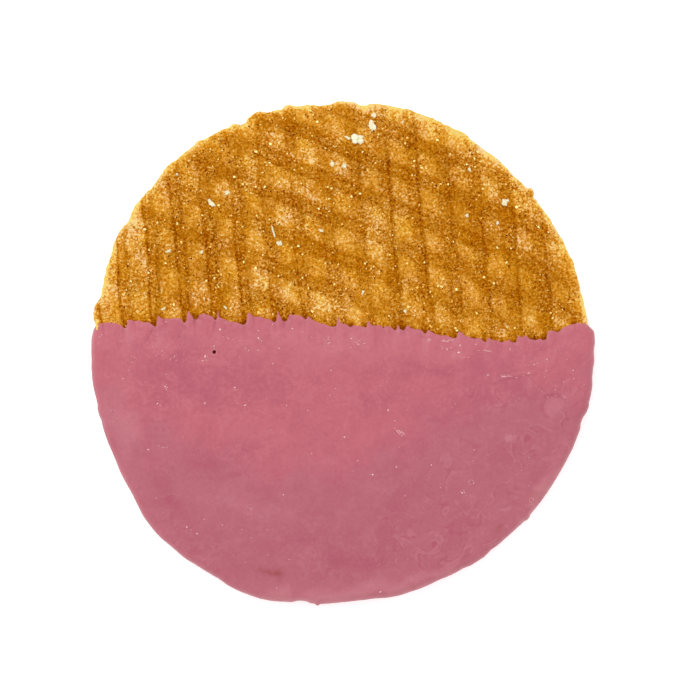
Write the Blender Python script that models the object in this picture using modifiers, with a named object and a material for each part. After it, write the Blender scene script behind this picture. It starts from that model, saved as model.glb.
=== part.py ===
"""A stroopwafel dipped in pink chocolate, lying flat with its bare side towards +Y.

Two thin pressed wafers hold a layer of syrup, and a chocolate coat wraps the -Y side of the
sandwich. Each piece is its own object. Metres, +Z up, and the coat's flat underside is at z = 0.
"""

import math
import random

import bmesh
import bpy
import numpy as np

MM = 0.001

# The biscuit's outline from above: a mean radius, and waves round the rim, each given by its
# count, its height and the direction of one of its crests in degrees.
WAFER_RADIUS = 51.6 * MM
RIM_WAVES = (
    (1, 0.95 * MM, 143.0),
    (2, 0.30 * MM, 72.0),
    (3, 0.55 * MM, 2.0),
    (4, 0.35 * MM, -31.0),
    (5, 0.15 * MM, 11.0),
)
RIM_POINTS = 110

# Thicknesses, from the table up: coat, wafer, syrup, wafer, coat, with a gap between neighbours.
GAP = 0.3 * MM
COAT = 0.8 * MM
WAFER = 1.9 * MM
SYRUP = 1.1 * MM
BOTTOM_WAFER_Z = COAT + GAP
SYRUP_Z = BOTTOM_WAFER_Z + WAFER + GAP
TOP_WAFER_Z = SYRUP_Z + SYRUP + GAP
COAT_TOP_Z = TOP_WAFER_Z + WAFER + GAP + COAT

# The iron's lattice: two families of ridges with pressed pits between them. A family is the
# direction across its ridges, their pitch and how far its first crest lies from the origin.
STEEP_RIDGES = (math.radians(5.3), 6.22 * MM, -0.4 * MM)
SHALLOW_RIDGES = (math.radians(67.5), 7.08 * MM, 4.0 * MM)
PIT_MOUTH = 0.66  # a pit's width at the face and at its floor, as parts of the pitch
PIT_FLOOR = 0.46
PIT_DEPTH = 0.45 * MM
PIT_UNEVENNESS = 0.18  # how much the depth varies, as a part of it
PIT_DRIFT = 0.15 * MM
PIT_RIM_MARGIN = 0.8 * MM
PIT_COVERED_ROWS = 6.0 * MM  # how far the pits are modelled in under the coat

# The coat's upper edge: its height above the middle line at a few places across the biscuit.
DIP_LINE_X = np.array([-53, -41, -29, -14, 4, 14, 24, 34, 42, 47, 53]) * MM
DIP_LINE_Y = np.array([6.2, 7.0, 8.1, 8.0, 6.5, 5.4, 3.9, 3.3, 4.0, 6.0, 7.4]) * MM
# On each steep ridge the coat runs up in a spike, and just before it a bare finger reaches down.
TOOTH_PHASE = np.array([0.00, 0.13, 0.50, 0.78, 0.90])
TOOTH_HEIGHT = np.array([1.2, 0.1, 0.2, -0.4, -1.1]) * MM
TOOTH_UNEVENNESS = 0.4

WAFER_EDGE = 0.5 * MM  # roundings
POCKET_EDGE = 0.4 * MM
COAT_EDGE = 1.8 * MM
COAT_LIP = 0.3 * MM
COAT_WAVES = ((9, 0.12 * MM, 12.0), (14, 0.10 * MM, 4.0), (23, 0.08 * MM, 9.0))
RIM_TOLERANCE = 0.1 * MM
DIP_END_MARGIN = 1.5 * MM
SYRUP_INSET = 0.9 * MM
SYRUP_EDGE = 0.35 * MM
SYRUP_WAVES = ((7, 0.25 * MM, 20.0), (11, 0.20 * MM, 8.0), (17, 0.12 * MM, 3.0))
TOP_WAFER_INSET = 0.35 * MM

CRUST_COLOUR = (0.560, 0.223, 0.019)
SYRUP_COLOUR = (0.275, 0.085, 0.012)
COAT_COLOUR = (0.520, 0.144, 0.188)


def rim_radius(angle, outset=0.0, extra_waves=()):
    """Distance of the outline from the middle in the direction angle, moved out by outset."""
    radius = WAFER_RADIUS + outset
    for count, height, crest in RIM_WAVES + extra_waves:
        radius = radius + height * np.cos(count * (angle - math.radians(crest)))
    return radius


def rim_points(outset=0.0, extra_waves=(), start=0.0, end=2 * math.pi):
    """Evenly turned points along the outline from start to end, without the end of a full turn."""
    turn = (end - start) / (2 * math.pi)
    angles = np.linspace(start, end, round(RIM_POINTS * turn), endpoint=turn < 1)
    radii = rim_radius(angles, outset, extra_waves)
    return np.stack([radii * np.cos(angles), radii * np.sin(angles)], axis=1)


def new_collection(name):
    collection = bpy.data.collections.new(name)
    bpy.context.scene.collection.children.link(collection)
    return collection


def material(name, colour, roughness):
    """A Principled material with one colour."""
    made = bpy.data.materials.new(name)
    made.use_nodes = True
    shader = made.node_tree.nodes["Principled BSDF"]
    shader.inputs["Base Color"].default_value = (*colour, 1.0)
    shader.inputs["Roughness"].default_value = roughness
    shader.inputs["Metallic"].default_value = 0.0
    return made


def object_from(bm, name, collection, surface=None):
    """Turns the bmesh into a linked object with its faces pointing out."""
    bmesh.ops.recalc_face_normals(bm, faces=bm.faces)
    mesh = bpy.data.meshes.new(name)
    bm.to_mesh(mesh)
    bm.free()
    made = bpy.data.objects.new(name, mesh)
    collection.objects.link(made)
    if surface:
        mesh.materials.append(surface)
    return made


def weigh_edges(bm, weight_of):
    """Gives each level edge the bevel weight that weight_of returns for its middle."""
    layer = bm.edges.layers.float.new("bevel_weight_edge")
    for edge in bm.edges:
        low, high = edge.verts
        if abs(low.co.z - high.co.z) < 1e-9:
            edge[layer] = weight_of((low.co + high.co) / 2)


def slab(outline, bottom, thickness, weight_of=lambda middle: 1.0):
    """A flat-faced bmesh: the outline as one face at the height bottom, drawn up by thickness."""
    bm = bmesh.new()
    face = bm.faces.new([bm.verts.new((x, y, bottom)) for x, y in outline])
    drawn = bmesh.ops.extrude_face_region(bm, geom=[face])
    top = [piece for piece in drawn["geom"] if isinstance(piece, bmesh.types.BMVert)]
    bmesh.ops.translate(bm, verts=top, vec=(0, 0, thickness))
    weigh_edges(bm, weight_of)
    return bm


def round_edges(part, width, segments):
    """Rounds the weighted edges of the part."""
    bevel = part.modifiers.new("rounded_edges", "BEVEL")
    bevel.limit_method = "WEIGHT"
    bevel.width = width
    bevel.segments = segments
    bevel.use_clamp_overlap = True


def cut(part, cutter):
    """Takes the cutter's shape out of the part."""
    boolean = part.modifiers.new(f"cut_{cutter.name}", "BOOLEAN")
    boolean.operation = "DIFFERENCE"
    boolean.solver = "EXACT"
    boolean.object = cutter
    cutter.hide_render = True
    cutter.display_type = "WIRE"


def lattice_point(steep_steps, shallow_steps):
    """The point that lies this many pitches along each family, counted from its first crest."""
    rows, reaches = [], []
    for (angle, pitch, first), steps in zip((STEEP_RIDGES, SHALLOW_RIDGES), (steep_steps, shallow_steps)):
        rows.append((math.cos(angle), math.sin(angle)))
        reaches.append(first + pitch * steps)
    return np.linalg.solve(np.array(rows), np.array(reaches))


def dip_line(x):
    """The middle height of the coat's ragged edge at x."""
    return np.interp(x, DIP_LINE_X, DIP_LINE_Y)


def cells():
    """The lattice cells of the bare side: the steps of each one's middle along both families."""
    reach = int(2.2 * WAFER_RADIUS / STEEP_RIDGES[1])
    for steep in range(-reach, reach):
        for shallow in range(-reach, reach):
            x, y = lattice_point(steep + 0.5, shallow + 0.5)
            inside = math.hypot(x, y) < rim_radius(math.atan2(y, x)) - PIT_RIM_MARGIN
            if inside and y > dip_line(x) - PIT_COVERED_ROWS:
                yield steep + 0.5, shallow + 0.5


def pits(name, face_z, outwards, collection, seed):
    """Cutter: a truncated pyramid for each cell, from outside the face at face_z down to the pit's floor.

    outwards is +1 on an upper face and -1 on an underside.
    """
    uneven = random.Random(seed)
    overshoot = 0.5
    bm = bmesh.new()
    for steep, shallow in cells():
        depth = PIT_DEPTH * (1 + PIT_UNEVENNESS * uneven.uniform(-1, 1))
        drift = np.array([uneven.uniform(-1, 1), uneven.uniform(-1, 1)]) * PIT_DRIFT
        widths = {-1: PIT_FLOOR, 1: PIT_MOUTH + overshoot * (PIT_MOUTH - PIT_FLOOR)}
        heights = {-1: face_z - outwards * depth, 1: face_z + outwards * overshoot * depth}
        for corner in bmesh.ops.create_cube(bm, size=2.0)["verts"]:
            level = round(corner.co.z)
            half = widths[level] / 2
            place = lattice_point(steep + half * corner.co.x, shallow + half * corner.co.y) + drift
            corner.co = (place[0], place[1], heights[level])
    return object_from(bm, name, collection)


def wafer(name, inset, bottom, pressed_face, parts, cutters, surface, seed):
    """One pressed wafer: a round slab with pits in its outer face, which is "upper" or "lower"."""
    made = object_from(slab(rim_points(-inset), bottom, WAFER), name, parts, surface)
    round_edges(made, WAFER_EDGE, 2)
    outwards = 1 if pressed_face == "upper" else -1
    face_z = bottom + WAFER if pressed_face == "upper" else bottom
    cut(made, pits(f"{name}_pits", face_z, outwards, cutters, seed))
    return made


def syrup_layer(parts, surface):
    """The filling: a thin slab that stops unevenly short of the wafers' rims."""
    outline = rim_points(-SYRUP_INSET, SYRUP_WAVES)
    made = object_from(slab(outline, SYRUP_Z, SYRUP), "syrup", parts, surface)
    round_edges(made, SYRUP_EDGE, 1)
    return made


def dip_end(side):
    """The direction in which the dip line meets the coat's rim, on the +X (side 1) or -X (side -1) side."""
    angle = 0.0 if side > 0 else math.pi
    for _ in range(8):
        radius = rim_radius(angle, GAP + COAT, COAT_WAVES)
        rise = math.asin(dip_line(radius * math.cos(angle)) / radius)
        angle = rise if side > 0 else math.pi - rise
    return angle


def dip_edge(left, right):
    """Points of the coat's ragged edge from x = left to x = right, a few to each steep ridge."""
    uneven = random.Random(5)
    angle, pitch, first = STEEP_RIDGES
    points = []
    most_ridges = math.ceil(WAFER_RADIUS / pitch) + 1
    for ridge in range(-most_ridges, most_ridges):
        strength = 1 + TOOTH_UNEVENNESS * uneven.uniform(-1, 1)
        for phase, height in zip(TOOTH_PHASE, TOOTH_HEIGHT):
            reach = first + pitch * (ridge + phase)
            x = (reach - dip_line(reach) * math.sin(angle)) / math.cos(angle)
            if left + DIP_END_MARGIN < x < right - DIP_END_MARGIN:
                points.append((x, dip_line(x) + strength * height))
    return points


def coating(parts, cutters, surface):
    """The chocolate: a rounded slab over the dipped side, hollowed out by the sandwich inside it."""
    outset = GAP + COAT
    rim = rim_points(outset, COAT_WAVES, start=dip_end(-1), end=2 * math.pi + dip_end(1))
    edge = dip_edge(rim[0][0], rim[-1][0])[::-1]
    outline = [*rim, *edge]

    def weight(middle):
        # The broad rounding is for the rim only: along the ragged edge it shrinks to a small lip.
        rim_here = rim_radius(math.atan2(middle.y, middle.x), outset, COAT_WAVES)
        on_rim = math.hypot(middle.x, middle.y) > rim_here - RIM_TOLERANCE
        return 1.0 if on_rim else COAT_LIP / COAT_EDGE

    made = object_from(slab(outline, 0.0, COAT_TOP_Z, weight), "coating", parts, surface)
    round_edges(made, COAT_EDGE, 3)
    pocket = slab(rim_points(GAP), COAT, COAT_TOP_Z - 2 * COAT)
    pocket_cutter = object_from(pocket, "pocket", cutters)
    round_edges(pocket_cutter, POCKET_EDGE, 1)
    cut(made, pocket_cutter)
    return made


def shade_round(part):
    """Smooth shading, kept sharp where faces meet at a clear angle."""
    part.data.shade_smooth()
    part.data.set_sharp_from_angle(angle=math.radians(40))


def main():
    for leftover in list(bpy.data.objects):
        bpy.data.objects.remove(leftover, do_unlink=True)
    parts = new_collection("stroopwafel")
    cutters = new_collection("cutters")
    crust = material("baked_crust", CRUST_COLOUR, 0.6)
    for made in (
        wafer("wafer_bottom", 0.0, BOTTOM_WAFER_Z, "lower", parts, cutters, crust, seed=2),
        syrup_layer(parts, material("caramel_syrup", SYRUP_COLOUR, 0.25)),
        wafer("wafer_top", TOP_WAFER_INSET, TOP_WAFER_Z, "upper", parts, cutters, crust, seed=1),
        coating(parts, cutters, material("pink_chocolate", COAT_COLOUR, 0.4)),
    ):
        shade_round(made)


main()
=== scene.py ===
"""The looks of a stroopwafel dipped in pink chocolate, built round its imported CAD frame.

Two pressed wafers, the syrup between them and the chocolate coat are closed skins, each worked
out from named sizes as a grid of points. Sugar crystals, wafer flakes and the bubbles in the
chocolate are small meshes laid on those skins. Metres, +Z up, the bare side towards +Y.
"""

from __future__ import annotations

import logging
import math
from dataclasses import dataclass, field
from enum import Enum

import bmesh
import bpy
import numpy as np
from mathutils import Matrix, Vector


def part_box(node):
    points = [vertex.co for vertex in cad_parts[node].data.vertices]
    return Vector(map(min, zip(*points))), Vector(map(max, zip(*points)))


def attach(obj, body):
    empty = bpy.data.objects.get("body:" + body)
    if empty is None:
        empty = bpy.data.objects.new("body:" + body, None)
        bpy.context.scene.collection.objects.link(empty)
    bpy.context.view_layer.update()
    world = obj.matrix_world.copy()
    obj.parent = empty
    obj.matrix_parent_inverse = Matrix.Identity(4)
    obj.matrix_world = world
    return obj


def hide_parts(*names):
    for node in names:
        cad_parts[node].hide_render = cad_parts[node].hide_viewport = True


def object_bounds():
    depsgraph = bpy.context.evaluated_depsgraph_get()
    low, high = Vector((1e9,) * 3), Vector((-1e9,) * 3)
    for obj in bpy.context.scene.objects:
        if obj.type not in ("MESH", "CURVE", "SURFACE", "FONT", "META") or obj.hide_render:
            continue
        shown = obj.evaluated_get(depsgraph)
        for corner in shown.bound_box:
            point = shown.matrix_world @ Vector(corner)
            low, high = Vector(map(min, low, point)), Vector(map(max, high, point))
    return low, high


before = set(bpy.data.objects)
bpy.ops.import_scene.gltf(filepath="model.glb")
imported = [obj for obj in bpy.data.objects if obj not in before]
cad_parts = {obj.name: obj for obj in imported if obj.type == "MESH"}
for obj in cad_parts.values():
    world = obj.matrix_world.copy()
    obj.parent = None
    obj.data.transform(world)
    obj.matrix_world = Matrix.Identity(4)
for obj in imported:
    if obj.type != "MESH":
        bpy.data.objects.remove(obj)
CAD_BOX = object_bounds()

Array = np.ndarray
Colour = tuple[float, float, float]

log = logging.getLogger("stroopwafel")

MM = 0.001
BODY = "root"
STUDIO_LIGHT = 1.5  # what an upward white surface shows, against the display's white
NET_SIDE = 512  # random values along each side of the net behind the smooth noise
MERGE_DISTANCE = 1e-6


# --------------------------------------------------------------------------- shapes in numbers


def eased(t: Array) -> Array:
    """The curve 6t^5 - 15t^4 + 10t^3, which runs from 0 to 1 and is level at both ends."""
    t = np.clip(t, 0.0, 1.0)
    return t * t * t * (t * (6.0 * t - 15.0) + 10.0)


def rise(value: Array, low: float, high: float) -> Array:
    """0 up to low, 1 from high on, and an eased rise between them. It falls if high is below low."""
    return eased((value - low) / (high - low))


def smooth_noise(x: Array, y: Array, size: float, seed: int) -> Array:
    """Smooth random values between -1 and 1.

    Random values stand at the corners of a net of squares, turned by an angle that depends on
    the seed. Inside a square they are blended with the eased curve along both of its sides.

    Args:
        x, y: where the values are wanted, in metres.
        size: side of one square, in metres.
        seed: picks the random values.

    Returns:
        One value for each point.
    """
    net = np.random.default_rng(seed).uniform(-1.0, 1.0, (NET_SIDE, NET_SIDE))
    turn = 0.7 + 1.3 * seed
    along = (x * math.cos(turn) - y * math.sin(turn)) / size
    across = (x * math.sin(turn) + y * math.cos(turn)) / size
    column, row = np.floor(along).astype(int), np.floor(across).astype(int)
    u, v = eased(along - column), eased(across - row)
    near = net[column % NET_SIDE, row % NET_SIDE] * (1 - u) + net[(column + 1) % NET_SIDE, row % NET_SIDE] * u
    far = (
        net[column % NET_SIDE, (row + 1) % NET_SIDE] * (1 - u)
        + net[(column + 1) % NET_SIDE, (row + 1) % NET_SIDE] * u
    )
    return near * (1 - v) + far * v


def fractal_noise(x: Array, y: Array, size: float, seed: int, octaves: int = 3, gain: float = 0.55) -> Array:
    """Smooth noise with finer noise on it: each octave is half the size and gain times the height."""
    total, height, full = np.zeros_like(x), 1.0, 0.0
    for octave in range(octaves):
        total = total + height * smooth_noise(x, y, size / 2**octave, seed + 101 * octave)
        full += height * height
        height *= gain
    return total / math.sqrt(full)


def bump(distance: Array, width: float) -> Array:
    """A bell of height 1 that has fallen to a third at this width."""
    return np.exp(-((distance / width) ** 2))


def polar(radius: Array, angle: Array) -> tuple[Array, Array]:
    """The x and y of points given by radius and angle."""
    return radius * np.cos(angle), radius * np.sin(angle)


# --------------------------------------------------------------------------- meshes


def closed_skin(name: str, loops: Array, attributes: dict[str, Array]) -> bpy.types.Object:
    """A closed mesh over a row of closed loops.

    Neighbouring loops are joined by four-sided faces, and the first and last loop are closed by a
    fan round their middle. Points that fall together, as in a loop that shrinks to a pole, are
    merged, and the faces are turned outwards by the sign of the enclosed volume.

    Args:
        name: the object's name.
        loops: points of shape (loops, points in a loop, 3).
        attributes: named values for the points, each of shape (loops, points in a loop).

    Returns:
        The linked object.
    """
    count, ring, _ = loops.shape
    points = np.concatenate([loops.reshape(-1, 3), loops[[0, -1]].mean(axis=1)])
    index = np.arange(count * ring).reshape(count, ring)
    after = np.roll(index, -1, axis=1)
    quads = np.stack([index[:-1], after[:-1], after[1:], index[1:]], axis=-1).reshape(-1, 4)
    poles = count * ring + np.arange(2)
    first = np.stack([np.full(ring, poles[0]), after[0], index[0]], axis=-1)
    last = np.stack([np.full(ring, poles[1]), index[-1], after[-1]], axis=-1)
    fans = np.concatenate([first, last])
    triangles = np.concatenate([quads[:, [0, 1, 2]], quads[:, [0, 2, 3]], fans])
    volume = np.linalg.det(points[triangles]).sum()
    if volume < 0:
        quads, fans = quads[:, ::-1], fans[:, ::-1]
    mesh = mesh_of(name, points, [quads, fans])
    for label, values in attributes.items():
        ends = values[[0, -1]].mean(axis=1)
        layer = mesh.attributes.new(label, "FLOAT", "POINT")
        layer.data.foreach_set("value", np.concatenate([values.ravel(), ends]).astype(np.float32))
    merged = bmesh.new()
    merged.from_mesh(mesh)
    bmesh.ops.remove_doubles(merged, verts=merged.verts, dist=MERGE_DISTANCE)
    merged.to_mesh(mesh)
    merged.free()
    return linked(name, mesh)


def mesh_of(name: str, points: Array, face_sets: list[Array]) -> bpy.types.Mesh:
    """A smooth-shaded mesh from its points and sets of faces, each set with one number of corners."""
    mesh = bpy.data.meshes.new(name)
    mesh.vertices.add(len(points))
    mesh.vertices.foreach_set("co", points.astype(np.float32).ravel())
    corners = np.concatenate([faces.ravel() for faces in face_sets])
    sizes = np.concatenate([np.full(len(faces), faces.shape[1]) for faces in face_sets])
    mesh.loops.add(len(corners))
    mesh.loops.foreach_set("vertex_index", corners.astype(np.int32))
    mesh.polygons.add(len(sizes))
    mesh.polygons.foreach_set("loop_start", np.concatenate([[0], np.cumsum(sizes)[:-1]]).astype(np.int32))
    mesh.update(calc_edges=True)
    mesh.shade_smooth()
    return mesh


def linked(name: str, mesh: bpy.types.Mesh) -> bpy.types.Object:
    """A new object at the origin that holds the mesh."""
    made = bpy.data.objects.new(name, mesh)
    bpy.context.scene.collection.objects.link(made)
    return made


def report(piece: bpy.types.Object) -> None:
    """Logs a finished piece with its number of triangles."""
    corners = np.empty(len(piece.data.polygons), np.int32)
    piece.data.polygons.foreach_get("loop_total", corners)
    log.info("%s: %d triangles", piece.name, int((corners - 2).sum()))


# --------------------------------------------------------------------------- shader nodes


def display(red: int, green: int, blue: int) -> Colour:
    """The linear colour of these display values, which run from 0 to 255."""
    shares = [value / 255 for value in (red, green, blue)]
    return tuple(s / 12.92 if s <= 0.04045 else ((s + 0.055) / 1.055) ** 2.4 for s in shares)


def lit(red: int, green: int, blue: int) -> Colour:
    """The colour that a matt surface needs to show these display values under the studio's light."""
    return tuple(value / STUDIO_LIGHT for value in display(red, green, blue))


class Graph:
    """A material's node tree, with short ways to add the nodes that the finishes use."""

    def __init__(self, name: str) -> None:
        """Starts a material with nothing but its shader and output."""
        self.material = bpy.data.materials.new(name)
        self.material.use_nodes = True
        self.nodes = self.material.node_tree.nodes
        self.shader = self.nodes["Principled BSDF"]
        self.place = self.node("ShaderNodeTexCoord").outputs["Object"]

    def node(self, kind: str, **settings: object) -> bpy.types.Node:
        """Adds a node and sets its properties."""
        made = self.nodes.new(kind)
        for key, value in settings.items():
            setattr(made, key, value)
        return made

    def join(self, source: object, target: bpy.types.NodeSocket) -> None:
        """Links an output to an input, or sets the input to a number or colour."""
        if isinstance(source, bpy.types.NodeSocket):
            self.material.node_tree.links.new(source, target)
        elif target.type == "RGBA":
            target.default_value = (*source, 1.0)
        else:
            target.default_value = source

    def value(self, name: str) -> bpy.types.NodeSocket:
        """A value stored on the mesh under this name."""
        return self.node("ShaderNodeAttribute", attribute_name=name).outputs["Fac"]

    def math(self, operation: str, first: object, second: object = 0.0, clamp: bool = False) -> bpy.types.NodeSocket:
        """One sum, product or other operation on two values."""
        made = self.node("ShaderNodeMath", operation=operation, use_clamp=clamp)
        self.join(first, made.inputs[0])
        self.join(second, made.inputs[1])
        return made.outputs[0]

    def spread(self, value: object, low: float, high: float, to_low: float = 0.0, to_high: float = 1.0) -> bpy.types.NodeSocket:
        """Maps low..high smoothly to to_low..to_high."""
        made = self.node("ShaderNodeMapRange", interpolation_type="SMOOTHSTEP")
        for source, target in zip((value, low, high, to_low, to_high), made.inputs):
            self.join(source, target)
        return made.outputs[0]

    def noise(
        self,
        size: float,
        detail: float = 2.0,
        roughness: float = 0.5,
        stretch: tuple[float, float, float] = (1, 1, 1),
        distortion: float = 0.0,
    ) -> bpy.types.NodeSocket:
        """Noise from 0 to 1 whose features are about this size in metres."""
        made = self.node("ShaderNodeTexNoise")
        self.join(self.moved(stretch), made.inputs["Vector"])
        self.join(1.0 / size, made.inputs["Scale"])
        self.join(detail, made.inputs["Detail"])
        self.join(roughness, made.inputs["Roughness"])
        self.join(distortion, made.inputs["Distortion"])
        return made.outputs["Fac"]

    def moved(self, stretch: tuple[float, float, float]) -> bpy.types.NodeSocket:
        """The object coordinates, multiplied along each axis."""
        mapping = self.node("ShaderNodeMapping")
        self.join(self.place, mapping.inputs["Vector"])
        mapping.inputs["Scale"].default_value = stretch
        return mapping.outputs[0]

    def cells(
        self, size: float, output: str = "Distance", feature: str = "F1", warp: float = 0.0
    ) -> bpy.types.NodeSocket:
        """A cell pattern: the distance to the nearest of scattered points, or the cell's random colour.

        Warp, in metres, bends the pattern with noise of the cells' size.
        """
        place = self.place
        if warp:
            bend = self.node("ShaderNodeTexNoise")
            self.join(self.place, bend.inputs["Vector"])
            self.join(1.0 / size, bend.inputs["Scale"])
            moved = self.node("ShaderNodeVectorMath", operation="MULTIPLY_ADD")
            self.join(bend.outputs["Color"], moved.inputs[0])
            moved.inputs[1].default_value = (warp, warp, warp)
            self.join(self.place, moved.inputs[2])
            place = moved.outputs[0]
        made = self.node("ShaderNodeTexVoronoi", feature=feature)
        self.join(place, made.inputs["Vector"])
        self.join(1.0 / size, made.inputs["Scale"])
        return made.outputs[output]

    def blend(self, factor: object, first: object, second: object, kind: str = "MIX") -> bpy.types.NodeSocket:
        """Two colours mixed by factor."""
        made = self.node("ShaderNodeMix", data_type="RGBA", blend_type=kind, clamp_factor=True)
        self.join(factor, made.inputs["Factor"])
        self.join(first, made.inputs[6])
        self.join(second, made.inputs[7])
        return made.outputs[2]

    def ramp(self, value: object, stops: tuple[tuple[float, Colour], ...]) -> bpy.types.NodeSocket:
        """A colour for each value, blended between the stops."""
        made = self.node("ShaderNodeValToRGB")
        colours = made.color_ramp.elements
        while len(colours) < len(stops):
            colours.new(0.5)
        for element, (position, colour) in zip(colours, stops):
            element.position = position
            element.color = (*colour, 1.0)
        self.join(value, made.inputs[0])
        return made.outputs[0]

    def relief(self, height: object, distance: float, strength: float = 1.0) -> None:
        """Lets the height, from 0 to 1, stand this many metres proud in the shading."""
        made = self.node("ShaderNodeBump")
        self.join(height, made.inputs["Height"])
        self.join(distance, made.inputs["Distance"])
        self.join(strength, made.inputs["Strength"])
        self.join(made.outputs[0], self.shader.inputs["Normal"])

    def finish(self, colour: object, roughness: object, specular: float = 0.5) -> bpy.types.Material:
        """Joins the colour and roughness to the shader and returns the material."""
        self.join(colour, self.shader.inputs["Base Color"])
        self.join(roughness, self.shader.inputs["Roughness"])
        self.shader.inputs["Specular IOR Level"].default_value = specular
        return self.material


# --------------------------------------------------------------------------- finishes


@dataclass(frozen=True)
class CrustFinish:
    """Baked wafer: glassy amber with curls of pale crumb, sandy patches and a few dark pores.

    The mesh gives a darkness from 0 for pale to 1 for dark amber, which holds the bake together with
    painted shading across the pits, painted shade along the coat's edge and painted light at the rim,
    "grit", from 0 for a smooth glassy skin to 1 for a granular one, and "gold" and "warm", which turn
    the colour from sandy to golden and from yellow to orange.
    """

    name: str = "baked_crust_look"
    grain: float = 0.5 * MM
    strand: float = 1.1 * MM
    pore_spacing: float = 1.1 * MM
    colours: tuple[tuple[float, Colour], ...] = (
        (0.00, lit(255, 224, 146)),
        (0.12, lit(248, 185, 88)),
        (0.25, lit(233, 163, 58)),
        (0.40, lit(213, 140, 31)),
        (0.50, lit(203, 128, 16)),
        (0.62, lit(190, 112, 7)),
        (0.75, lit(173, 92, 1)),
        (1.00, lit(136, 60, 0)),
    )
    crumb_paleness: float = 0.13
    pore_colour: Colour = lit(126, 62, 0)
    golden: Colour = (1.006, 0.994, 0.66)
    sandy: Colour = (0.998, 1.0, 1.5)
    orange: Colour = (1.014, 0.976, 1.0)
    yellow: Colour = (0.992, 1.012, 1.0)

    def material(self) -> bpy.types.Material:
        """Builds the finish."""
        g = Graph(self.name)
        bake_and_shade, grit = g.value("bake_and_shade"), g.value("grit")
        fine = g.math("SUBTRACT", g.noise(self.grain, 2.0, 0.8), 0.5)
        amount = g.spread(grit, 0.0, 1.0, 0.70, 1.06)
        random = g.node("ShaderNodeSeparateColor")
        g.join(g.cells(0.33 * MM, "Color"), random.inputs[0])
        grains = g.math("MULTIPLY", g.math("SUBTRACT", random.outputs[0], 0.5), 0.36)
        speckle = g.math("ADD", g.math("MULTIPLY", fine, 1.8), grains)
        wave = g.math("ABSOLUTE", g.math("SUBTRACT", g.noise(self.strand, 1.0, 0.5, distortion=1.5), 0.5))
        strands = g.spread(wave, 0.055, 0.0, -0.15, 0.9)
        crumbs = g.math("MULTIPLY", strands, g.spread(bake_and_shade, 0.3, 0.55, 0.35, 1.0))
        tone = g.math("SUBTRACT", bake_and_shade, g.math("MULTIPLY", speckle, amount))
        tone = g.math("SUBTRACT", tone, g.math("MULTIPLY", crumbs, self.crumb_paleness))
        gold = g.math("ADD", g.value("gold"), g.math("MULTIPLY", g.math("SUBTRACT", g.noise(1.3 * MM), 0.5), 0.9))
        warm = g.math("ADD", g.value("warm"), g.math("MULTIPLY", g.math("SUBTRACT", g.noise(1.1 * MM), 0.5), 0.9))
        colour = g.ramp(tone, self.colours)
        colour = g.blend(1.0, colour, g.blend(gold, self.sandy, self.golden), "MULTIPLY")
        colour = g.blend(1.0, colour, g.blend(warm, self.yellow, self.orange), "MULTIPLY")
        random = g.node("ShaderNodeSeparateColor")
        g.join(g.cells(self.pore_spacing, "Color"), random.inputs[0])
        size = g.spread(random.outputs[0], 0.65, 1.0, 0.0, 0.16)
        pore = g.math("LESS_THAN", g.cells(self.pore_spacing), size)
        pore = g.math("MULTIPLY", pore, g.spread(grit, 0.1, 0.7, 0.4, 0.85))
        colour = g.blend(pore, colour, self.pore_colour)
        height = g.math("ADD", crumbs, g.math("MULTIPLY", fine, amount))
        g.relief(height, 0.08 * MM)
        return g.finish(colour, g.spread(grit, 0.0, 1.0, 0.4, 0.8), specular=0.003)


@dataclass(frozen=True)
class SyrupFinish:
    """Sticky caramel syrup: dark, glossy and slightly streaked along the layer."""

    name: str = "caramel_syrup_look"
    thin: Colour = display(205, 118, 20)
    thick: Colour = display(138, 64, 4)

    def material(self) -> bpy.types.Material:
        """Builds the finish."""
        g = Graph(self.name)
        streaks = g.noise(1.6 * MM, 3.0, 0.6, stretch=(1.0, 1.0, 3.0))
        colour = g.ramp(streaks, ((0.3, self.thick), (0.7, self.thin)))
        g.relief(g.noise(0.8 * MM, 2.0), 0.08 * MM)
        g.shader.inputs["Coat Weight"].default_value = 0.15
        g.shader.inputs["Coat Roughness"].default_value = 0.2
        return g.finish(colour, g.spread(streaks, 0.3, 0.7, 0.42, 0.28), specular=0.3)


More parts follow.
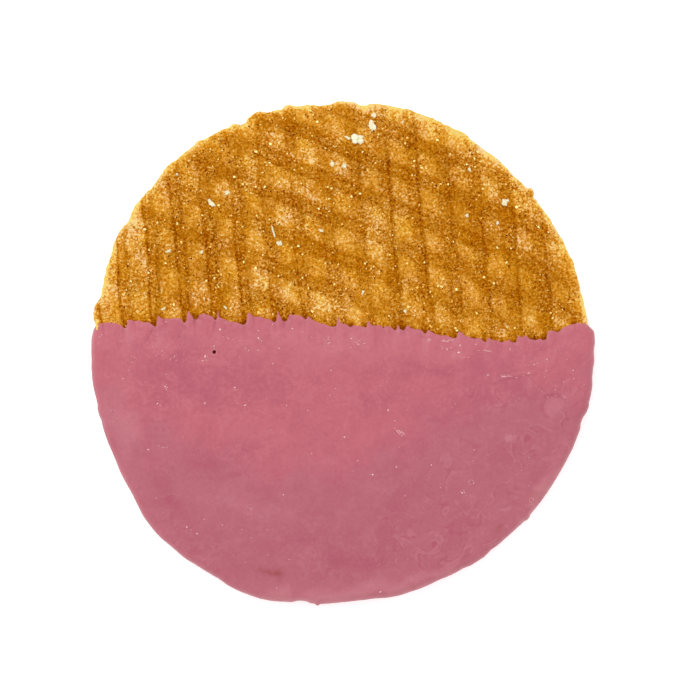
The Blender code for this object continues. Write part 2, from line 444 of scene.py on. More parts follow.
@dataclass(frozen=True)
class ChocolateFinish:
    """Pink chocolate: satin, mottled at every scale, with one deep pinhole.

    The mesh gives "cool", from 0 for warm pink to 1 for a cooler, greyer one, a paler and a darker
    value, which are 1 where the coat looks paler and darker, "scuff", which is 1 where it bears
    pale scratches, "stain", which is 1 where it is brown, and "net", which is 1 where a net of fine
    lines shows. The paler value holds painted highlights, on the rim and on streaks below the spikes,
    along with the coat's own pale patches; the darker one holds painted shade, below the bare fingers
    and on a crater's edge, along with its own plum mottling. The net's lines are painted shade with a
    painted highlight beside them, for fine creases in the skin.
    """

    name: str = "pink_chocolate_look"
    warm: Colour = lit(200, 104, 118)
    cool: Colour = lit(188, 102, 117)
    plum: Colour = lit(181, 88, 107)
    rust: Colour = lit(168, 78, 84)
    pale: Colour = lit(220, 147, 153)
    # Painted shade: the dark red inside the pinhole.
    hole: Colour = lit(106, 0, 0)
    pinhole: tuple[float, float, float] = (-26.8 * MM, 0.3 * MM, 7.3 * MM)
    pinhole_squash: float = 0.1  # heights count this much, so that the hole shows on the upper face only
    pinhole_radius: float = 0.4 * MM

    def material(self) -> bpy.types.Material:
        """Builds the finish."""
        g = Graph(self.name)
        colour = g.blend(g.value("cool"), self.warm, self.cool)
        fine = g.math("SUBTRACT", g.noise(0.8 * MM, 3.0, 0.7), 0.5)
        broad = g.math("SUBTRACT", g.noise(5 * MM, 4.0, 0.65, distortion=0.8), 0.5)
        mottle = g.math("ADD", g.math("MULTIPLY", fine, 1.6), g.math("MULTIPLY", broad, 1.7))
        # Painted creases: painted shade along curved lines in the skin, with a painted highlight just beside them.
        swirl = g.math("SUBTRACT", g.noise(6 * MM, 1.0, 0.5, distortion=1.2), 0.5)
        shown = g.math("MULTIPLY", g.value("net"), g.spread(g.noise(3.4 * MM, 1.0), 0.4, 0.6))
        painted_crease_shade = g.math("MULTIPLY", g.spread(g.math("ABSOLUTE", swirl), 0.035, 0.0), shown)
        beside = g.math("ABSOLUTE", g.math("SUBTRACT", swirl, 0.06))
        painted_crease_highlight = g.math("MULTIPLY", g.spread(beside, 0.05, 0.0), shown)
        scratches = g.spread(g.noise(1.4 * MM, 3.0, 0.6, stretch=(0.3, 1.4, 1.0)), 0.6, 0.74)
        # The darker value carries painted shade as well as the coat's own mottling.
        shade = g.math("ADD", g.value("shade"), g.math("MULTIPLY", mottle, -1.0), clamp=True)
        shade = g.math("ADD", shade, g.math("MULTIPLY", painted_crease_shade, 0.8), clamp=True)
        colour = g.blend(shade, colour, self.plum)
        colour = g.blend(g.value("stain"), colour, self.rust)
        # The paler value holds painted highlights as well as pale patches, mottling and scratches.
        pallor_and_highlight = g.math("ADD", g.value("pallor_and_highlight"), g.math("MULTIPLY", g.math("MAXIMUM", mottle, 0.0), 0.3))
        pallor_and_highlight = g.math("ADD", pallor_and_highlight, g.math("MULTIPLY", scratches, g.value("scuff")))
        pallor_and_highlight = g.math("ADD", pallor_and_highlight, g.math("MULTIPLY", painted_crease_highlight, 0.2), clamp=True)
        colour = g.blend(pallor_and_highlight, colour, self.pale)
        away = g.node("ShaderNodeVectorMath", operation="DISTANCE")
        g.join(g.moved((1.0, 1.0, self.pinhole_squash)), away.inputs[0])
        away.inputs[1].default_value = (*self.pinhole[:2], self.pinhole[2] * self.pinhole_squash)
        # A painted highlight round the pinhole's lip, and painted shade inside it.
        ring = g.math("LESS_THAN", away.outputs["Value"], 1.5 * self.pinhole_radius)
        colour = g.blend(g.math("MULTIPLY", ring, 0.6), colour, self.pale)
        inside = g.math("LESS_THAN", away.outputs["Value"], self.pinhole_radius)
        colour = g.blend(inside, colour, self.hole)
        ripples = g.math("ADD", g.noise(2.2 * MM, 2.0), g.math("MULTIPLY", fine, 0.3))
        g.relief(g.math("SUBTRACT", ripples, g.math("MULTIPLY", painted_crease_shade, 0.4)), 0.07 * MM)
        return g.finish(colour, g.spread(g.noise(3 * MM, 3.0), 0.3, 0.7, 0.4, 0.52), specular=0.18)


@dataclass(frozen=True)
class CreamFinish:
    """Loose bits, from dark to light by each bit's own "tone"."""

    name: str
    dark: Colour
    light: Colour
    roughness: float
    specular: float = 0.1

    def material(self) -> bpy.types.Material:
        """Builds the finish."""
        g = Graph(self.name)
        tone = g.math("ADD", g.value("tone"), g.math("MULTIPLY", g.math("SUBTRACT", g.noise(0.3 * MM, 2.0), 0.5), 0.6))
        g.relief(g.noise(0.25 * MM, 2.0), 0.04 * MM)
        return g.finish(g.ramp(tone, ((0.0, self.dark), (1.0, self.light))), self.roughness, self.specular)


@dataclass(frozen=True)
class PaperFinish:
    """The plain pale surface under the biscuit, lit a little from within like a light table."""

    name: str = "pale_surface"
    colour: Colour = (0.93, 0.93, 0.93)
    glow: float = 0.34

    def material(self) -> bpy.types.Material:
        """Builds the finish."""
        g = Graph(self.name)
        g.relief(g.noise(0.6 * MM, 2.0), 0.01 * MM)
        g.join(self.colour, g.shader.inputs["Emission Color"])
        g.join(self.glow, g.shader.inputs["Emission Strength"])
        return g.finish(self.colour, 0.9, specular=0.1)


# --------------------------------------------------------------------------- the biscuit's plan


@dataclass(frozen=True)
class Outline:
    """The biscuit's rim from above: a mean radius and waves, each a count, a height and a crest in degrees."""

    radius: float = 51.6 * MM
    waves: tuple[tuple[int, float, float], ...] = (
        (1, 0.95 * MM, 143.0),
        (2, 0.30 * MM, 72.0),
        (3, 0.55 * MM, 2.0),
        (4, 0.35 * MM, -31.0),
        (5, 0.15 * MM, 11.0),
    )

    def at(self, angle: Array) -> Array:
        """Radius in the direction angle, in radians."""
        return self.radius + sum(
            height * np.cos(count * (angle - math.radians(crest))) for count, height, crest in self.waves
        )

    @staticmethod
    def bulges(angle: Array, places: tuple[tuple[float, float, float], ...]) -> Array:
        """Bulges and notches of the rim: each has a direction and a half width in degrees, and a height between them."""
        total = np.zeros_like(angle)
        for direction, height, width in places:
            away = (np.degrees(angle) - direction + 180.0) % 360.0 - 180.0
            total = total + height * MM * np.exp(-((away / width) ** 4))
        return total


@dataclass(frozen=True)
class RidgeFamily:
    """One family of parallel ridges left by the iron.

    Places across a ridge are counted from its middle in pitches. A ridge is a flat band from low to high with eased
    flanks. Dark lines run along it, each with a place, a darkness and the part of the wafer where it shows: -1 on the
    left, 1 on the right, 0 throughout. Most are scorched; a line at the ridge's low flank can be partly a painted
    shadow.
    """

    across: float  # direction across the ridges, in degrees from +X
    pitch: float
    first: float  # how far the first ridge lies from the origin
    low: float
    high: float
    flank: float
    lines: tuple[tuple[float, float, int], ...]
    # A ramp across each pit, partly its own browning and partly painted shading of its walls.
    pit_tone_and_shade: float  # how much paler the pit is just past a ridge than just before the next
    drift: float  # how far the pale middle of the pits lies nearer to the ridge 30 mm to the right
    gold: float  # where the golden side of the pits lies
    base: float  # how strongly the ridges show outside the ellipses
    ellipses: tuple[tuple[float, float, float, float, float], ...]  # x, y, half width, half height, strength

    def steps(self, x: Array, y: Array) -> Array:
        """Distance across the ridges, counted in pitches from the first crest."""
        turn = math.radians(self.across)
        return (x * math.cos(turn) + y * math.sin(turn) - self.first) / self.pitch

    def place(self, number: Array, y: Array) -> Array:
        """The x at which the ridge of this number crosses the height y."""
        turn = math.radians(self.across)
        return (self.first + self.pitch * number - y * math.sin(turn)) / math.cos(turn)

    def strength(self, x: Array, y: Array) -> Array:
        """How strongly the ridges show: the base and soft ellipses added to it."""
        total = np.full(x.shape, self.base)
        for px, py, half_x, half_y, amount in self.ellipses:
            square = ((x / MM - px) / half_x) ** 2 + ((y / MM - py) / half_y) ** 2
            total = total + amount * np.exp(-(square**2))
        return total

    def band(self, away: Array) -> Array:
        """1 on a ridge and 0 in a pit, for places counted from the ridge's middle."""
        return rise(away, self.low - self.flank, self.low) * rise(away, self.high + self.flank, self.high)


@dataclass
class Imprint:
    """What the iron pressed into the wafer at some points."""

    ridge: Array  # 1 on a crest and 0 in a pit
    scorch_and_shade: Array  # how much darker the skin is: the iron's lines and bands, with painted shading across the pits and a painted shadow line
    cell: Array  # one random value from -1 to 1 for each pit
    centre: Array  # 1 in the middle of a pit, falling to 0 towards the ridges
    smear: Array  # 1 where sugar has run into a smooth amber skin
    gold: Array  # 1 in the middle of the golden side of a pit


@dataclass(frozen=True)
class Lattice:
    """The pressed lattice: two families of ridges, with pits between them."""

    steep: RidgeFamily = RidgeFamily(
        across=5.3,
        pitch=6.22 * MM,
        first=-0.4 * MM,
        low=-0.17,
        high=0.13,
        flank=0.11,
        # The first steep line, at the ridge's left flank on the left of the wafer, is partly scorched and partly a
        # painted shadow along the ridge's edge.
        lines=((-0.17, 0.31, -1), (0.10, 0.10, -1), (0.11, 0.34, 1)),
        pit_tone_and_shade=0.06,
        drift=0.09,
        gold=0.53,
        base=0.28,
        ellipses=((-46, 12, 26, 30, 0.75), (-15, 14, 12, 12, 0.2), (10, 27, 12, 16, 0.45), (38, 14, 12, 14, 0.2)),
    )
    shallow: RidgeFamily = RidgeFamily(
        across=67.5,
        pitch=7.08 * MM,
        first=4.0 * MM,
        low=-0.15,
        high=0.17,
        flank=0.10,
        lines=((-0.12, 0.17, 0), (0.14, 0.12, 0)),
        pit_tone_and_shade=0.16,
        drift=0.0,
        gold=-0.30,
        base=0.21,
        ellipses=((0, 46, 34, 14, 0.48), (-6, 24, 14, 18, 0.47), (-36, 20, 14, 24, 0.08), (22, 30, 14, 14, 0.12)),
    )
    wander: float = 0.35 * MM
    line_width: float = 0.28 * MM
    band_darkness: float = 0.115

    def press(self, x: Array, y: Array, seed: int) -> Imprint:
        """Works out the imprint at the points.

        Each family gives a band with eased flanks, dark lines on it and a pit that is palest just past the ridge: the
        lines are scorched, one of them partly a painted shadow, and the pit's paleness is partly painted shading. A
        point is as high as the two ridges together make it. The ridges wander with smooth noise, and each fades and
        returns along its length.
        """
        wx = x + self.wander * (fractal_noise(x, y, 7 * MM, seed, 2) + 0.4 * fractal_noise(x, y, 2 * MM, seed + 8, 2))
        wy = y + self.wander * (fractal_noise(x, y, 7 * MM, seed + 1, 2) + 0.4 * fractal_noise(x, y, 2 * MM, seed + 9, 2))
        drift = np.clip(x / (30 * MM), -1.4, 1.4)
        low, scorch_and_shade, centre, gold = 1.0, 0.0, 1.0, 1.0
        for family, extra in ((self.steep, 2), (self.shallow, 3)):
            steps = family.steps(wx, wy)
            away = steps - np.round(steps)
            shift = drift * family.drift
            middle = (away - family.gold - 2.5 * shift + 0.5) % 1.0 - 0.5
            gold = gold * bump(middle, 0.24)
            strength = family.strength(x, y) + 0.10 * fractal_noise(x, y, 5 * MM, seed + extra, 2)
            strength = np.clip(strength, 0, 1.2)
            band = strength * family.band(away)
            low = low * (1 - np.clip(0.35 + 0.65 * strength, 0, 1) * family.band(away))
            scorch_and_shade = scorch_and_shade + self.band_darkness * band
            past = (away - family.high) % 1.0
            centre = centre * np.exp(-(((past - 0.41 + shift) / 0.26) ** 4))
            # Painted shading across the pit, paler just past the ridge, along with some of the pit's own browning.
            scorch_and_shade = scorch_and_shade + strength * family.pit_tone_and_shade * (past - 0.45) * (1 - family.band(away))
            for number, (place, darkness, part) in enumerate(family.lines):
                patches = fractal_noise(x, y, 3.2 * MM, seed + extra * 7 + 20 * number, 2)
                shown = rise(part * x, -8 * MM, 14 * MM) if part else 1.0
                line = bump((away - place) * family.pitch, self.line_width) * rise(patches, -1.8, 0.0)
                scorch_and_shade = scorch_and_shade + strength * shown * darkness * line
        net = np.random.default_rng(seed).uniform(-1, 1, (64, 64))
        column, row = self.steep.steps(wx, wy), self.shallow.steps(wx, wy)
        cell = net[np.floor(column).astype(int) % 64, np.floor(row).astype(int) % 64]
        smear = rise(fractal_noise(x, y, 6 * MM, seed + 4), 0.15, 0.8)
        return Imprint(1 - low, scorch_and_shade, cell, centre, smear, gold)


@dataclass
class DipEdge:
    """The coat's upper edge: a long wave across the biscuit with a tooth on each steep ridge.

    The chocolate runs up each ridge in a spike, and just to its left a bare finger reaches down.
    """

    family: RidgeFamily
    line: tuple[tuple[float, float], ...] = (  # x and y of the long wave, in millimetres
        (-53.0, 5.9), (-50.0, 6.6), (-46.0, 6.0), (-43.0, 6.8), (-40.0, 6.4), (-37.0, 7.3), (-33.0, 7.3),
        (-29.0, 8.4), (-25.0, 7.3), (-22.0, 6.4), (-18.5, 7.9), (-15.0, 7.2), (-10.0, 8.5), (-7.0, 7.3),
        (-4.0, 6.1), (0.0, 6.2), (6.0, 5.9), (10.0, 5.8), (14.0, 5.4), (18.0, 4.6), (21.0, 3.6), (26.0, 3.7),
        (31.0, 2.8), (35.0, 2.7), (38.0, 3.4), (41.0, 3.1), (44.0, 4.4), (47.5, 6.2), (53.0, 6.4),
    )  # fmt: skip
    first_ridge: int = -7
    spikes: tuple[float, ...] = (0.7, 1.1, 1.5, 1.6, 1.1, 1.6, 0.5, 1.5, 0.9, 0.5, 0.4, 0.9, 0.3, 0.8, 1.0, 0.1)
    spike_widths: tuple[float, ...] = (1.2, 0.5, 0.45, 0.16, 0.8, 0.25, 0.4, 0.25, 0.5, 0.4, 0.5, 0.5, 0.5, 0.6, 1.0, 0.5)
    fingers: tuple[float, ...] = (0.8, 0.8, 1.1, 0.5, 0.9, 0.7, 0.4, 0.6, 0.4, 0.6, 0.4, 0.5, 0.6, 0.6, 0.5, 0.1)
    finger_widths: tuple[float, ...] = (0.8, 0.8, 0.6, 0.4, 1.2, 0.7, 0.5, 1.2, 0.8, 0.8, 0.6, 1.0, 0.8, 1.2, 1.2, 0.8)
    pockets: tuple[tuple[float, float, float], ...] = (  # place, depth and half width of extra bare notches
        (-30.7, 0.9, 0.65),
        (-12.1, 1.3, 0.75),
        (1.6, 0.3, 0.5),
        (8.4, 0.5, 0.3),
        (12.4, 0.7, 0.8),
        (27.2, 0.35, 0.7),
        (33.0, 0.3, 0.4),
        (39.6, 0.3, 0.9),
        (44.9, 0.4, 0.6),
    )
    knobs: tuple[tuple[float, float, float], ...] = (  # place, height and half width of extra small lobes
        (13.4, 0.6, 0.5),
        (24.7, 0.5, 0.35),
        (-42.6, 0.2, 0.5),
        (34.6, 0.5, 0.3),
        (38.0, 0.4, 0.6),
    )
    samples: int = 24000

    def __post_init__(self) -> None:
        """Works out the ragged edge once, finely enough to be read off for any point."""
        self.ridges = [
            float(self.family.place(self.first_ridge + number, 7 * MM)) for number in range(len(self.spikes))
        ]
        self.table_x = np.linspace(-56, 56, self.samples) * MM
        self.table_y = self.middle(self.table_x) + self.teeth(self.table_x)

    def middle(self, x: Array) -> Array:
        """The long wave's height at x: the mean of three readings, so that it has no corners."""
        readings = [np.interp(x / MM + shift, *np.array(self.line).T) for shift in (-1.0, 0.0, 1.0)]
        return sum(readings) * MM / len(readings)

    def fingers_at(self, x: Array) -> Array:
        """1 at the tip of a bare finger or pocket, falling to 0 at its sides."""
        found = np.zeros_like(x)
        for ridge, width in zip(self.ridges, self.finger_widths):
            away = (x - ridge) / MM
            found = found + bump(np.minimum(away + 0.5, 0), width) * rise(away, -0.15, -0.5)
        for place, _, width in self.pockets:
            found = found + np.exp(-(((x / MM - place) / width) ** 4))
        return np.clip(found, 0, 1)

    def spikes_at(self, x: Array) -> Array:
        """1 on the line of a spike, falling to 0 beside it."""
        return sum(bump((x - ridge) / MM, 0.45) for ridge in self.ridges)

    def teeth(self, x: Array) -> Array:
        """How far the edge stands over the long wave.

        A spike rises sharply on its left and slopes away on its right. A finger deepens slowly
        from its left and ends against the spike.
        """
        y = np.zeros_like(x)
        sizes = zip(self.ridges, self.spikes, self.spike_widths, self.fingers, self.finger_widths)
        for ridge, spike, spike_width, finger, finger_width in sizes:
            away = (x - ridge) / MM
            right = 0.85 * bump(np.maximum(away, 0), spike_width) + 0.15 * bump(np.maximum(away, 0), 2.0)
            y = y + spike * rise(away, -0.28, 0.02) * right
            y = y - finger * bump(np.minimum(away + 0.6, 0), finger_width) * rise(away, -0.1, -0.5)
        for place, depth, width in self.pockets:
            y = y - depth * np.exp(-(((x / MM - place) / width) ** 4))
        for place, height, width in self.knobs:
            y = y + height * np.exp(-(((x / MM - place) / width) ** 4))
        y = y + 0.17 * fractal_noise(x, 0 * x, 1.3 * MM, 31, 3, gain=0.7)
        return y * MM * rise(np.abs(x), 51.5 * MM, 49.5 * MM)

    def height(self, x: Array) -> Array:
        """The ragged edge's height at x."""
        return np.interp(x, self.table_x, self.table_y)

    def away(self, x: Array, y: Array, reach: float = 3 * MM, step: float = 0.1 * MM) -> Array:
        """How far points lie inside the coat, measured to the nearest point of the edge.

        The edge is tried at steps to both sides of each point. Points on the bare side get a
        value below 0.
        """
        nearest = np.full(x.shape, np.inf)
        for shift in np.arange(-reach, reach + step / 2, step):
            nearest = np.minimum(nearest, np.hypot(shift, self.height(x + shift) - y))
        return np.where(self.height(x) > y, nearest, -nearest)


# --------------------------------------------------------------------------- wafers


class Side(Enum):
    """Which way a wafer's pressed face looks."""

    UP = 1
    DOWN = -1


@dataclass
class Wafer:
    """One pressed wafer, as closed loops that run across its face, over its bare rim and back inside."""

    node: str
    side: Side
    seed: int
    columns: int
    bare_rows: int
    outline: Outline
    lattice: Lattice
    dip: DipEdge
    rim_shift: float = 0.0
    covered_rows: int = 7
    inner_rows: int = 8
    underlap: float = 3.2 * MM  # how far the fine part of the face reaches in under the coat
    edge: float = 0.5 * MM
    inner_edge: float = 0.25 * MM
    pit_depth: float = 0.42 * MM
    bulges: tuple[tuple[float, float, float], ...] = (
        (24.0, 0.28, 5.5),
        (33.0, 0.25, 1.8),
        (40.7, 0.9, 1.0),
        (46.5, -0.2, 2.0),
        (52.2, 0.25, 1.6),
        (61.3, 0.45, 1.6),
        (65.6, -0.25, 1.0),
        (71.5, 0.42, 11.5),
        (85.5, -0.45, 1.2),
        (94.5, -0.6, 2.6),
        (102.4, 0.45, 1.4),
        (110.0, 0.7, 2.2),
        (115.4, 0.3, 0.8),
        (113.4, -0.5, 0.9),
        (127.0, 0.38, 8.5),
        (124.4, 0.3, 1.0),
        (139.5, -0.2, 3.0),
        (148.5, -0.25, 1.0),
        (161.5, -0.25, 1.4),
        (165.0, -0.2, 2.0),
        (170.4, 0.75, 2.3),
    )
    patches: tuple[tuple[float, float, float, float, float], ...] = (
        # x, y, half width, half height and how much darker
        (-47, 16, 9, 22, -0.10),
        (-20, 10, 24, 6, -0.08),
        (5, 11, 9, 6, -0.06),
        (-5, 36, 7, 6, -0.12),
        (5, 28, 7, 6, -0.07),
        (-28, 37, 7, 6, 0.07),
        (33, 28, 10, 9, 0.08),
        (38, 13, 9, 8, 0.05),
        (22, 44, 8, 5, -0.08),
        (-20, 45, 6, 5, -0.06),
        (45, 18, 5, 13, 0.04),
        (36, 33, 6, 6, 0.05),
        (-14, 48.5, 7, 2.5, 0.12),
        (-50, 13, 3, 6, 0.05),
        (-32, 36, 8, 5, -0.04),
    )
    levels: tuple[float, float] = field(init=False)

    def __post_init__(self) -> None:
        """Takes the heights of the inner and outer face from the CAD node."""
        low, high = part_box(self.node)
        self.levels = (low.z, high.z) if self.side is Side.UP else (high.z, low.z)

    @property
    def thickness(self) -> float:
        """From the inner face to the pressed face's crests."""
        return abs(self.levels[1] - self.levels[0])

    def rim(self, angle: Array) -> Array:
        """The rim's radius, with its bulges, crumbling and a knob where each ridge runs out."""
        radius = self.outline.at(angle) + self.rim_shift
        x, y = polar(radius - 0.8 * MM, angle)
        ridge = self.lattice.press(x, y, self.seed).ridge
        ragged = 0.13 * MM * fractal_noise(x, y, 1.3 * MM, self.seed + 11, 3)
        covered = rise(self.dip.middle(x) - y, 0.5 * MM, 4 * MM)
        bare = self.outline.bulges(angle, self.bulges) + 0.24 * MM * (ridge - 0.5) + ragged + 0.12 * MM
        return radius + bare * (1 - covered) - 0.45 * MM * covered

    def relief(self, x: Array, y: Array, fine: bool = True) -> Array:
        """Height of the pressed face over the plane of its crests.

        Pits sink between the ridges, each to its own depth. Broad swells, blisters and, if fine
        is set, granular crumb are smooth noise of falling size.
        """
        press = self.lattice.press(x, y, self.seed)
        height = -self.pit_depth * (1 - press.ridge) * (1 + 0.3 * press.cell)
        height = height + 0.10 * MM * smooth_noise(x, y, 9 * MM, self.seed + 21)
        if fine:
            grit = self.grit(x, y, press)
            height = height + 0.06 * MM * fractal_noise(x, y, 1.7 * MM, self.seed + 22, 2)
            height = height + 0.055 * MM * grit * fractal_noise(x, y, 0.62 * MM, self.seed + 23, 2)
        return height

    def grit(self, x: Array, y: Array, press: Imprint) -> Array:
        """How granular the skin is: in patches, more on the ridges, and least on smears."""
        patches = 0.7 * fractal_noise(x, y, 3.6 * MM, self.seed + 35, 3) + 0.35 * (press.ridge - 0.4)
        return rise(patches, -0.5, 0.5) * (1 - 0.8 * press.smear)

    def surface(self, x: Array, y: Array) -> Array:
        """The z of the pressed face."""
        return self.levels[1] + self.side.value * self.relief(x, y)

    def profile(self) -> tuple[Array, Array]:
        """The rim's section from the pressed face to the inner face.

        A quarter round, an upright and a smaller quarter round. It gives how far each point lies
        out from the rim, and its height over the inner face.
        """
        turn = np.radians(np.linspace(0, 90, 7))
        upright = np.linspace(self.thickness - self.edge, self.inner_edge, 7)[1:-1]
        out = [self.edge * (np.sin(turn) - 1), 0 * upright, -self.inner_edge * (1 - np.cos(turn[::2]))]
        height = [
            self.thickness - self.edge * (1 - np.cos(turn)),
            upright,
            self.inner_edge * (1 - np.sin(turn[::2])),
        ]
        return np.concatenate(out), np.concatenate(height)

    def ends(self) -> tuple[float, float]:
        """Directions, left and right, in which the fine part's lower border meets the face's border."""
        found = []
        for angle, sign in ((math.pi, -1.0), (0.0, 1.0)):
            for _ in range(12):
                radius = float(self.rim(np.array(angle))) - self.edge
                level = float(self.dip.middle(np.array(radius * math.cos(angle)))) - self.underlap
                angle = math.asin(level / radius) if sign > 0 else math.pi - math.asin(level / radius)
            found.append(angle)
        return found[0], found[1]

    def build(self) -> bpy.types.Object:
        """Builds the wafer.

        For each column, a ruled line crosses the face from the covered rim to the lower border of
        the fine part, and a finely divided one goes on to the bare rim. The rim's section and two
        coarse lines on the inner face close the loop.
        """
        left, right = self.ends()
        share = np.linspace(0, 1, self.columns)[:, None]
        bare_angle = left + (right - left) * share
        covered_angle = left + (right + 2 * math.pi - left) * share
        bare_rim, covered_rim = self.rim(bare_angle), self.rim(covered_angle)
        bare = np.stack(polar(bare_rim - self.edge, bare_angle), axis=-1)
        covered = np.stack(polar(covered_rim - self.edge, covered_angle), axis=-1)
        border_x = bare[0, :, 0] + (bare[-1, :, 0] - bare[0, :, 0]) * share
        border = np.stack([border_x, self.dip.middle(border_x) - self.underlap], axis=-1)
        border[[0, -1]] = bare[[0, -1]]

        def ruled(start: Array, end: Array, rows: int) -> Array:
            t = np.linspace(0, 1, rows, endpoint=False)[None, :, None]
            return start + (end - start) * t

        out, height = self.profile()
        flat = self.thickness

        def section(rim: Array, angle: Array) -> Array:
            return np.stack(polar(rim + out[None, :], angle + 0 * out[None, :]), axis=-1)

        inner_bare = np.stack(polar(bare_rim - self.inner_edge, bare_angle), axis=-1)
        inner_covered = np.stack(polar(covered_rim - self.inner_edge, covered_angle), axis=-1)
        parts = [
            (ruled(covered, border, self.covered_rows), flat, 1.0),
            (ruled(border, bare, self.bare_rows), flat, 1.0),
            (section(bare_rim, bare_angle), height, np.clip((height / flat - 0.72) / 0.28, 0, 1)),
            (ruled(inner_bare, inner_covered, self.inner_rows)[:, 1:], 0.0, 0.0),
            (section(covered_rim, covered_angle)[:, ::-1], height[::-1], np.clip((height[::-1] / flat - 0.72) / 0.28, 0, 1)),
        ]
        plan = np.concatenate([part[0] for part in parts], axis=1)
        level = np.concatenate([np.broadcast_to(part[1], (self.columns, part[0].shape[1])) for part in parts], axis=1)
        facing = np.concatenate([np.broadcast_to(part[2], (self.columns, part[0].shape[1])) for part in parts], axis=1)
        x, y = plan[..., 0], plan[..., 1]
        level = level + facing * self.relief(x, y)
        x, y = self.crumble(x, y, level, facing)
        z = self.levels[0] + self.side.value * level
        press = self.lattice.press(x, y, self.seed)
        piece = closed_skin(
            f"{self.node}_skin",
            np.stack([x, y, z], axis=-1),
            {
                "bake_and_shade": self.bake_and_shade(x, y, level, press),
                "grit": self.grit_on(x, y, level, press),
                "gold": self.gold(x, y, press),
                "warm": self.warm(x, y),
            },
        )
        return piece

    def crumble(self, x: Array, y: Array, level: Array, facing: Array) -> tuple[Array, Array]:
        """Moves the upright of the rim in and out with the open crumb that a cutter leaves."""
        angle, radius = np.arctan2(y, x), np.hypot(x, y)
        upright = rise(level, 0.1 * self.thickness, 0.3 * self.thickness) * (1 - facing)
        upright = upright * rise(radius, self.outline.radius - 4 * MM, self.outline.radius - 2.5 * MM)
        along = angle * self.outline.radius
        open_crumb = fractal_noise(along, level, 0.9 * MM, self.seed + 41, 3)
        return polar(radius + upright * 0.09 * MM * open_crumb, angle)

    def bake_and_shade(self, x: Array, y: Array, level: Array, press: Imprint) -> Array:
        """How dark the skin is: baked darker on ridges and smears, paler in pits and at the rim, palest on the cut
        side, with painted shading across the pits, painted shade along the coat's edge and painted light at the rim.
        """
        tone = 0.42 + press.scorch_and_shade + 0.08 * press.cell * (1 - press.ridge) - 0.06 * press.centre
        for px, py, half_x, half_y, darker in self.patches:
            square = ((x / MM - px) / half_x) ** 2 + ((y / MM - py) / half_y) ** 2
            tone = tone + darker * np.exp(-(square**2))
        ragged = press.centre + 0.22 * fractal_noise(x, y, 1.6 * MM, self.seed + 36, 3)
        tone = tone + 0.012 - 0.05 * rise(ragged, 0.25, 0.5)
        tone = tone + 0.3 * press.smear * (0.56 - tone)
        tone = tone + 0.06 * fractal_noise(x, y, 12 * MM, self.seed + 31)
        flecks = fractal_noise(x, y, 2.2 * MM, self.seed + 32)
        tone = tone + 0.02 * flecks + 0.05 * (rise(flecks, -0.15, 0.15) - 0.5)
        angle = np.arctan2(y, x)
        inwards = self.outline.at(angle) + self.rim_shift + self.outline.bulges(angle, self.bulges) - np.hypot(x, y)
        inwards = np.maximum(inwards, 0)
        # Paler towards the rim: partly the paler cut edge, partly painted light on the rim.
        pale_edge_and_light = 0.60 * np.exp(-inwards / (0.75 * MM)) + 0.16 * np.exp(-inwards / (3.0 * MM))
        tone = tone - pale_edge_and_light * (1 - 0.45 * press.ridge)
        # Painted shade: a dark thin line on the wafer along the coat's edge, strongest at the bare fingers, where the
        # coat shades the wafer.
        inside = np.abs(self.dip.away(x, y, 1.2 * MM, 0.15 * MM))
        finger = self.dip.fingers_at(x)
        tone = tone + (0.12 + 0.5 * finger) * np.exp(-inside / (0.35 * MM)) + 0.12 * finger * bump(inside, 1.2 * MM)
        side = rise(level, 0.85 * self.thickness, 0.55 * self.thickness)
        crumb = 0.24 + 0.10 * fractal_noise(angle * self.outline.radius, level, 0.8 * MM, self.seed + 33)
        return tone * (1 - side) + crumb * side

    def gold(self, x: Array, y: Array, press: Imprint) -> Array:
        """How golden the skin is, against sandy: one side of each pit, and in patches."""
        inwards = np.maximum(self.outline.at(np.arctan2(y, x)) - np.hypot(x, y), 0)
        patches = 0.30 * fractal_noise(x, y, 3.4 * MM, self.seed + 37, 3)
        smooth = 0.5 - self.grit(x, y, press)
        return 0.40 + 0.32 * press.gold + 0.5 * np.exp(-inwards / (2.5 * MM)) + patches + 0.3 * smooth

    def warm(self, x: Array, y: Array) -> Array:
        """How orange the skin is, against yellow: towards the rim and in patches."""
        inwards = np.maximum(self.outline.at(np.arctan2(y, x)) - np.hypot(x, y), 0)
        return 0.42 + 0.9 * np.exp(-inwards / (2.5 * MM)) + 0.3 * fractal_noise(x, y, 3.8 * MM, self.seed + 38, 3)

    def grit_on(self, x: Array, y: Array, level: Array, press: Imprint) -> Array:
        """How granular the skin is, with the cut side fully so."""
        side = rise(level, 0.8 * self.thickness, 0.6 * self.thickness)
        return self.grit(x, y, press) * (1 - side) + side


# --------------------------------------------------------------------------- syrup


